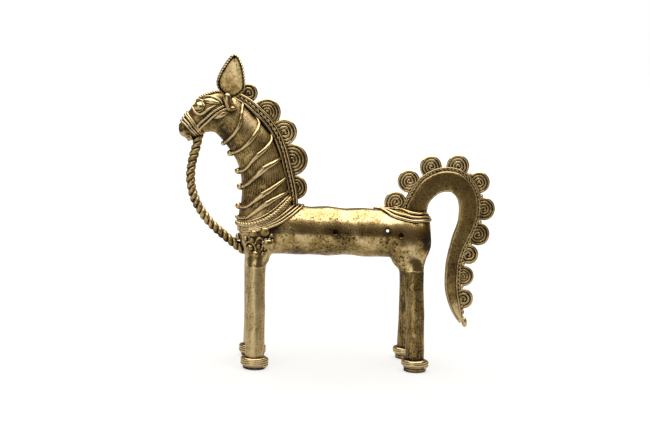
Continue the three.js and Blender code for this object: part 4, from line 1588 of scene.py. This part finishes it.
class HORSE_OT_chest(bpy.types.Operator):
    """Dress the chest: a rough rosette on each shoulder, and a cluster of pellets and arches"""

    bl_idname = "horse.chest"
    bl_label = "Chest ornaments"

    def execute(self, context):
        for name, side in SIDES.items():
            self.rosette(name, side)
            self.garland(name, side)
        return {"FINISHED"}

    @staticmethod
    def seated(x, z, radius, side, lift=0.3, flat=0.75):
        spot = laid([(x, z)], side, lift * radius)[0]
        _, out = body_field(spot[None])
        return pellet(spot, radius, (1, 1, flat), facing(out[0])), spot, out[0]

    def rosette(self, name, side):
        heart, spot, out = self.seated(*ROSETTE, 3.5, side, 0.45, 0.55)
        turn = facing(out)
        parts = [heart]
        for k in range(9):
            angle = 2 * math.pi * k / 9
            away = turn @ Vector((math.cos(angle) * 3.4, math.sin(angle) * 3.4, 0))
            at = settle([spot + np.array(away)], 0.8)[0]
            parts.append(pellet(at, 1.15 + 0.15 * math.sin(5 * k)))
        finished(joined(*parts), f"chest_rosette.{name}", "brass, cast and burnished")

    def garland(self, name, side):
        parts = [self.seated(x, z, r, side)[0] for x, z, r in CHEST_PELLETS]
        disc, *_ = self.seated(*CHEST_DISC, side, 0.35, 0.6)
        parts.append(disc)
        front = settle([(-62.0, side * 2.4, -5.0)], 0.7)[0]
        parts.append(pellet(front, 2.0))
        lines = [rolled(along_side(arch, side, 0.5), 0.8, seed=1) for arch in CHEST_ARCHES]
        parts.append(wires(lines))
        finished(
            joined(*parts), f"chest_garland.{name}", "brass, coiled thread left dark"
        )


class HORSE_OT_core(bpy.types.Operator):
    """Give the clay core, which shows in the holes and the belly seam, its fired surface"""

    bl_idname = "horse.core"
    bl_label = "Clay core"

    def execute(self, context):
        core = frame["nodes"]["clay_core"]
        core.data.materials.clear()
        core.data.materials.append(material("clay, fired"))
        return {"FINISHED"}


# ---------------------------------------------------------------- stage

# The view in degrees, then in millimetres. The paper and the lamps are in metres.
VIEW_AZIMUTH, VIEW_ELEVATION, VIEW_ROLL = -5.75, 6.9, 2.4
VIEW_DISTANCE = 800
VIEW_TARGET = (-7.57, 0, 95.3)
LENS, SENSOR = 69.23, 36
PAPER_SIZE = 14
PAPER_MIDDLE = PAPER_SIZE / 2 - 0.35  # so that the paper ends 0.35 m in front of the horse
PAPER_GLEAM = 0.45  # how strongly the paper shows in the metal
LAMP_TARGET = (0, 0, 0.09)
LAMPS = [  # place, size and watts
    ("softbox_above", (0, 0.05, 0.8), 1.16, 10.0),
    ("softbox_left", (-0.45, -0.7, 0.2), 0.6, 1.0),
]
ROOM = (1, 0.8, 0.55, 1)  # the warm, dim room that the metal reflects


class HORSE_OT_stage(bpy.types.Operator):
    """Set a pale floor, soft studio light and the camera"""

    bl_idname = "horse.stage"
    bl_label = "Stage"

    def execute(self, context):
        self.floor()
        self.light()
        self.camera()
        context.scene.view_settings.view_transform = "Standard"
        return {"FINISHED"}

    def floor(self):
        """Matt white paper, lit so evenly that hardly any shadow is left on it."""
        floor = primitive("plane", size=PAPER_SIZE, location=(0, PAPER_MIDDLE, 0))
        floor.name = "floor"
        made, tree, shader = new_material("paper, matt white")
        place = add(tree, "ShaderNodeTexCoord").outputs["Object"]
        fibre = add(tree, "ShaderNodeTexNoise", {"Vector": place, "Scale": 60.0}).outputs[0]
        pale = [c * 0.36 for c in bpy.context.scene.horse_finish.floor]
        colours = [(0.3, [c * 0.97 for c in pale]), (0.7, pale)]
        tree.links.new(ramp(tree, fibre, colours), shader.inputs["Base Color"])
        shader.inputs["Roughness"].default_value = 0.9
        shader.inputs["Emission Color"].default_value = (1, 1, 1, 1)
        moved = add(tree, "ShaderNodeMapping", {0: place, 1: (0, PAPER_MIDDLE, 0)}).outputs[0]
        far = add(tree, "ShaderNodeVectorMath", {0: moved}, operation="LENGTH").outputs["Value"]
        glow = remap(tree, far, 0.3, 0.8, 0.68, 1.05)
        seen = add(tree, "ShaderNodeLightPath").outputs["Is Camera Ray"]
        glow = maths(tree, "MULTIPLY", glow, remap(tree, seen, 0, 1, PAPER_GLEAM, 1))
        tree.links.new(glow, shader.inputs["Emission Strength"])
        floor.data.materials.append(made)

    def light(self):
        for name, place, size, power in LAMPS:
            lamp = bpy.data.lights.new(name, "AREA")
            lamp.shape = "SQUARE"
            lamp.size = size
            lamp.energy = power
            obj = bpy.data.objects.new(name, lamp)
            obj.location = place
            aim = Vector(LAMP_TARGET) - Vector(place)
            obj.rotation_euler = aim.to_track_quat("-Z", "Y").to_euler()
            bpy.context.scene.collection.objects.link(obj)
        world = bpy.data.worlds.new("studio")
        bpy.context.scene.world = world
        world.use_nodes = True
        tree = world.node_tree
        tree.nodes.clear()
        way = add(tree, "ShaderNodeTexCoord").outputs["Generated"]
        split = add(tree, "ShaderNodeSeparateXYZ", {0: way})
        high = remap(tree, split.outputs["Z"], 0.5, 0.9, 0.0, 0.3)
        behind = remap(tree, split.outputs["Y"], 0.1, 0.7, 0.0, 0.12)
        glow = maths(tree, "ADD", maths(tree, "ADD", high, behind), 0.08)
        room = add(tree, "ShaderNodeBackground", {0: ROOM, 1: glow}).outputs[0]
        paper = add(tree, "ShaderNodeBackground", {0: (1, 1, 1, 1), 1: 1.0}).outputs[0]
        seen = add(tree, "ShaderNodeLightPath").outputs["Is Camera Ray"]
        mixed = add(tree, "ShaderNodeMixShader", {0: seen, 1: room, 2: paper}).outputs[0]
        add(tree, "ShaderNodeOutputWorld", {0: mixed})

    def camera(self):
        yaw, pitch, roll = (math.radians(a) for a in (VIEW_AZIMUTH, VIEW_ELEVATION, VIEW_ROLL))
        back = Vector(
            (math.sin(yaw) * math.cos(pitch), -math.cos(yaw) * math.cos(pitch), math.sin(pitch))
        )
        right = Vector((0, 0, 1)).cross(back).normalized()
        up = back.cross(right)
        tilted_right = right * math.cos(roll) + up * math.sin(roll)
        tilted_up = up * math.cos(roll) - right * math.sin(roll)
        turn = Matrix((tilted_right, tilted_up, back)).transposed().to_4x4()
        place = (Vector(VIEW_TARGET) + back * VIEW_DISTANCE) * MM
        lens = bpy.data.cameras.new("camera")
        lens.lens = LENS
        lens.sensor_width = SENSOR
        lens.clip_start = 0.01
        camera = bpy.data.objects.new("camera", lens)
        camera.matrix_world = Matrix.Translation(place) @ turn
        bpy.context.scene.collection.objects.link(camera)
        bpy.context.scene.camera = camera


class HORSE_PT_panel(bpy.types.Panel):
    """The steps of the horse, in the sidebar of the 3D view"""

    bl_idname = "HORSE_PT_panel"
    bl_label = "Brass horse"
    bl_space_type = "VIEW_3D"
    bl_region_type = "UI"
    bl_category = "Brass horse"

    def draw(self, context):
        for group in (context.scene.horse_sizes, context.scene.horse_finish):
            for name in group.bl_rna.properties.keys():
                if name not in ("rna_type", "name"):
                    self.layout.prop(group, name)
        for step in STEPS:
            self.layout.operator(step.bl_idname)


STEPS = [
    HORSE_OT_body,
    HORSE_OT_feet,
    HORSE_OT_collar,
    HORSE_OT_neck_threads,
    HORSE_OT_mane,
    HORSE_OT_tail,
    HORSE_OT_bridle,
    HORSE_OT_eyes,
    HORSE_OT_ears,
    HORSE_OT_chest,
    HORSE_OT_core,
    HORSE_OT_stage,
]
CLASSES = [HorseSizes, HorseFinish, *STEPS, HORSE_PT_panel]


def register():
    for each in CLASSES:
        bpy.utils.register_class(each)
    bpy.types.Scene.horse_sizes = PointerProperty(type=HorseSizes)
    bpy.types.Scene.horse_finish = PointerProperty(type=HorseFinish)


def unregister():
    del bpy.types.Scene.horse_finish
    del bpy.types.Scene.horse_sizes
    for each in reversed(CLASSES):
        bpy.utils.unregister_class(each)


def main():
    register()
    bpy.ops.horse.body()
    bpy.ops.horse.feet()
    bpy.ops.horse.collar()
    bpy.ops.horse.neck_threads()
    bpy.ops.horse.mane()
    bpy.ops.horse.tail()
    bpy.ops.horse.bridle()
    bpy.ops.horse.eyes()
    bpy.ops.horse.ears()
    bpy.ops.horse.chest()
    bpy.ops.horse.core()
    bpy.ops.horse.stage()


if __name__ == "__main__":
    main()
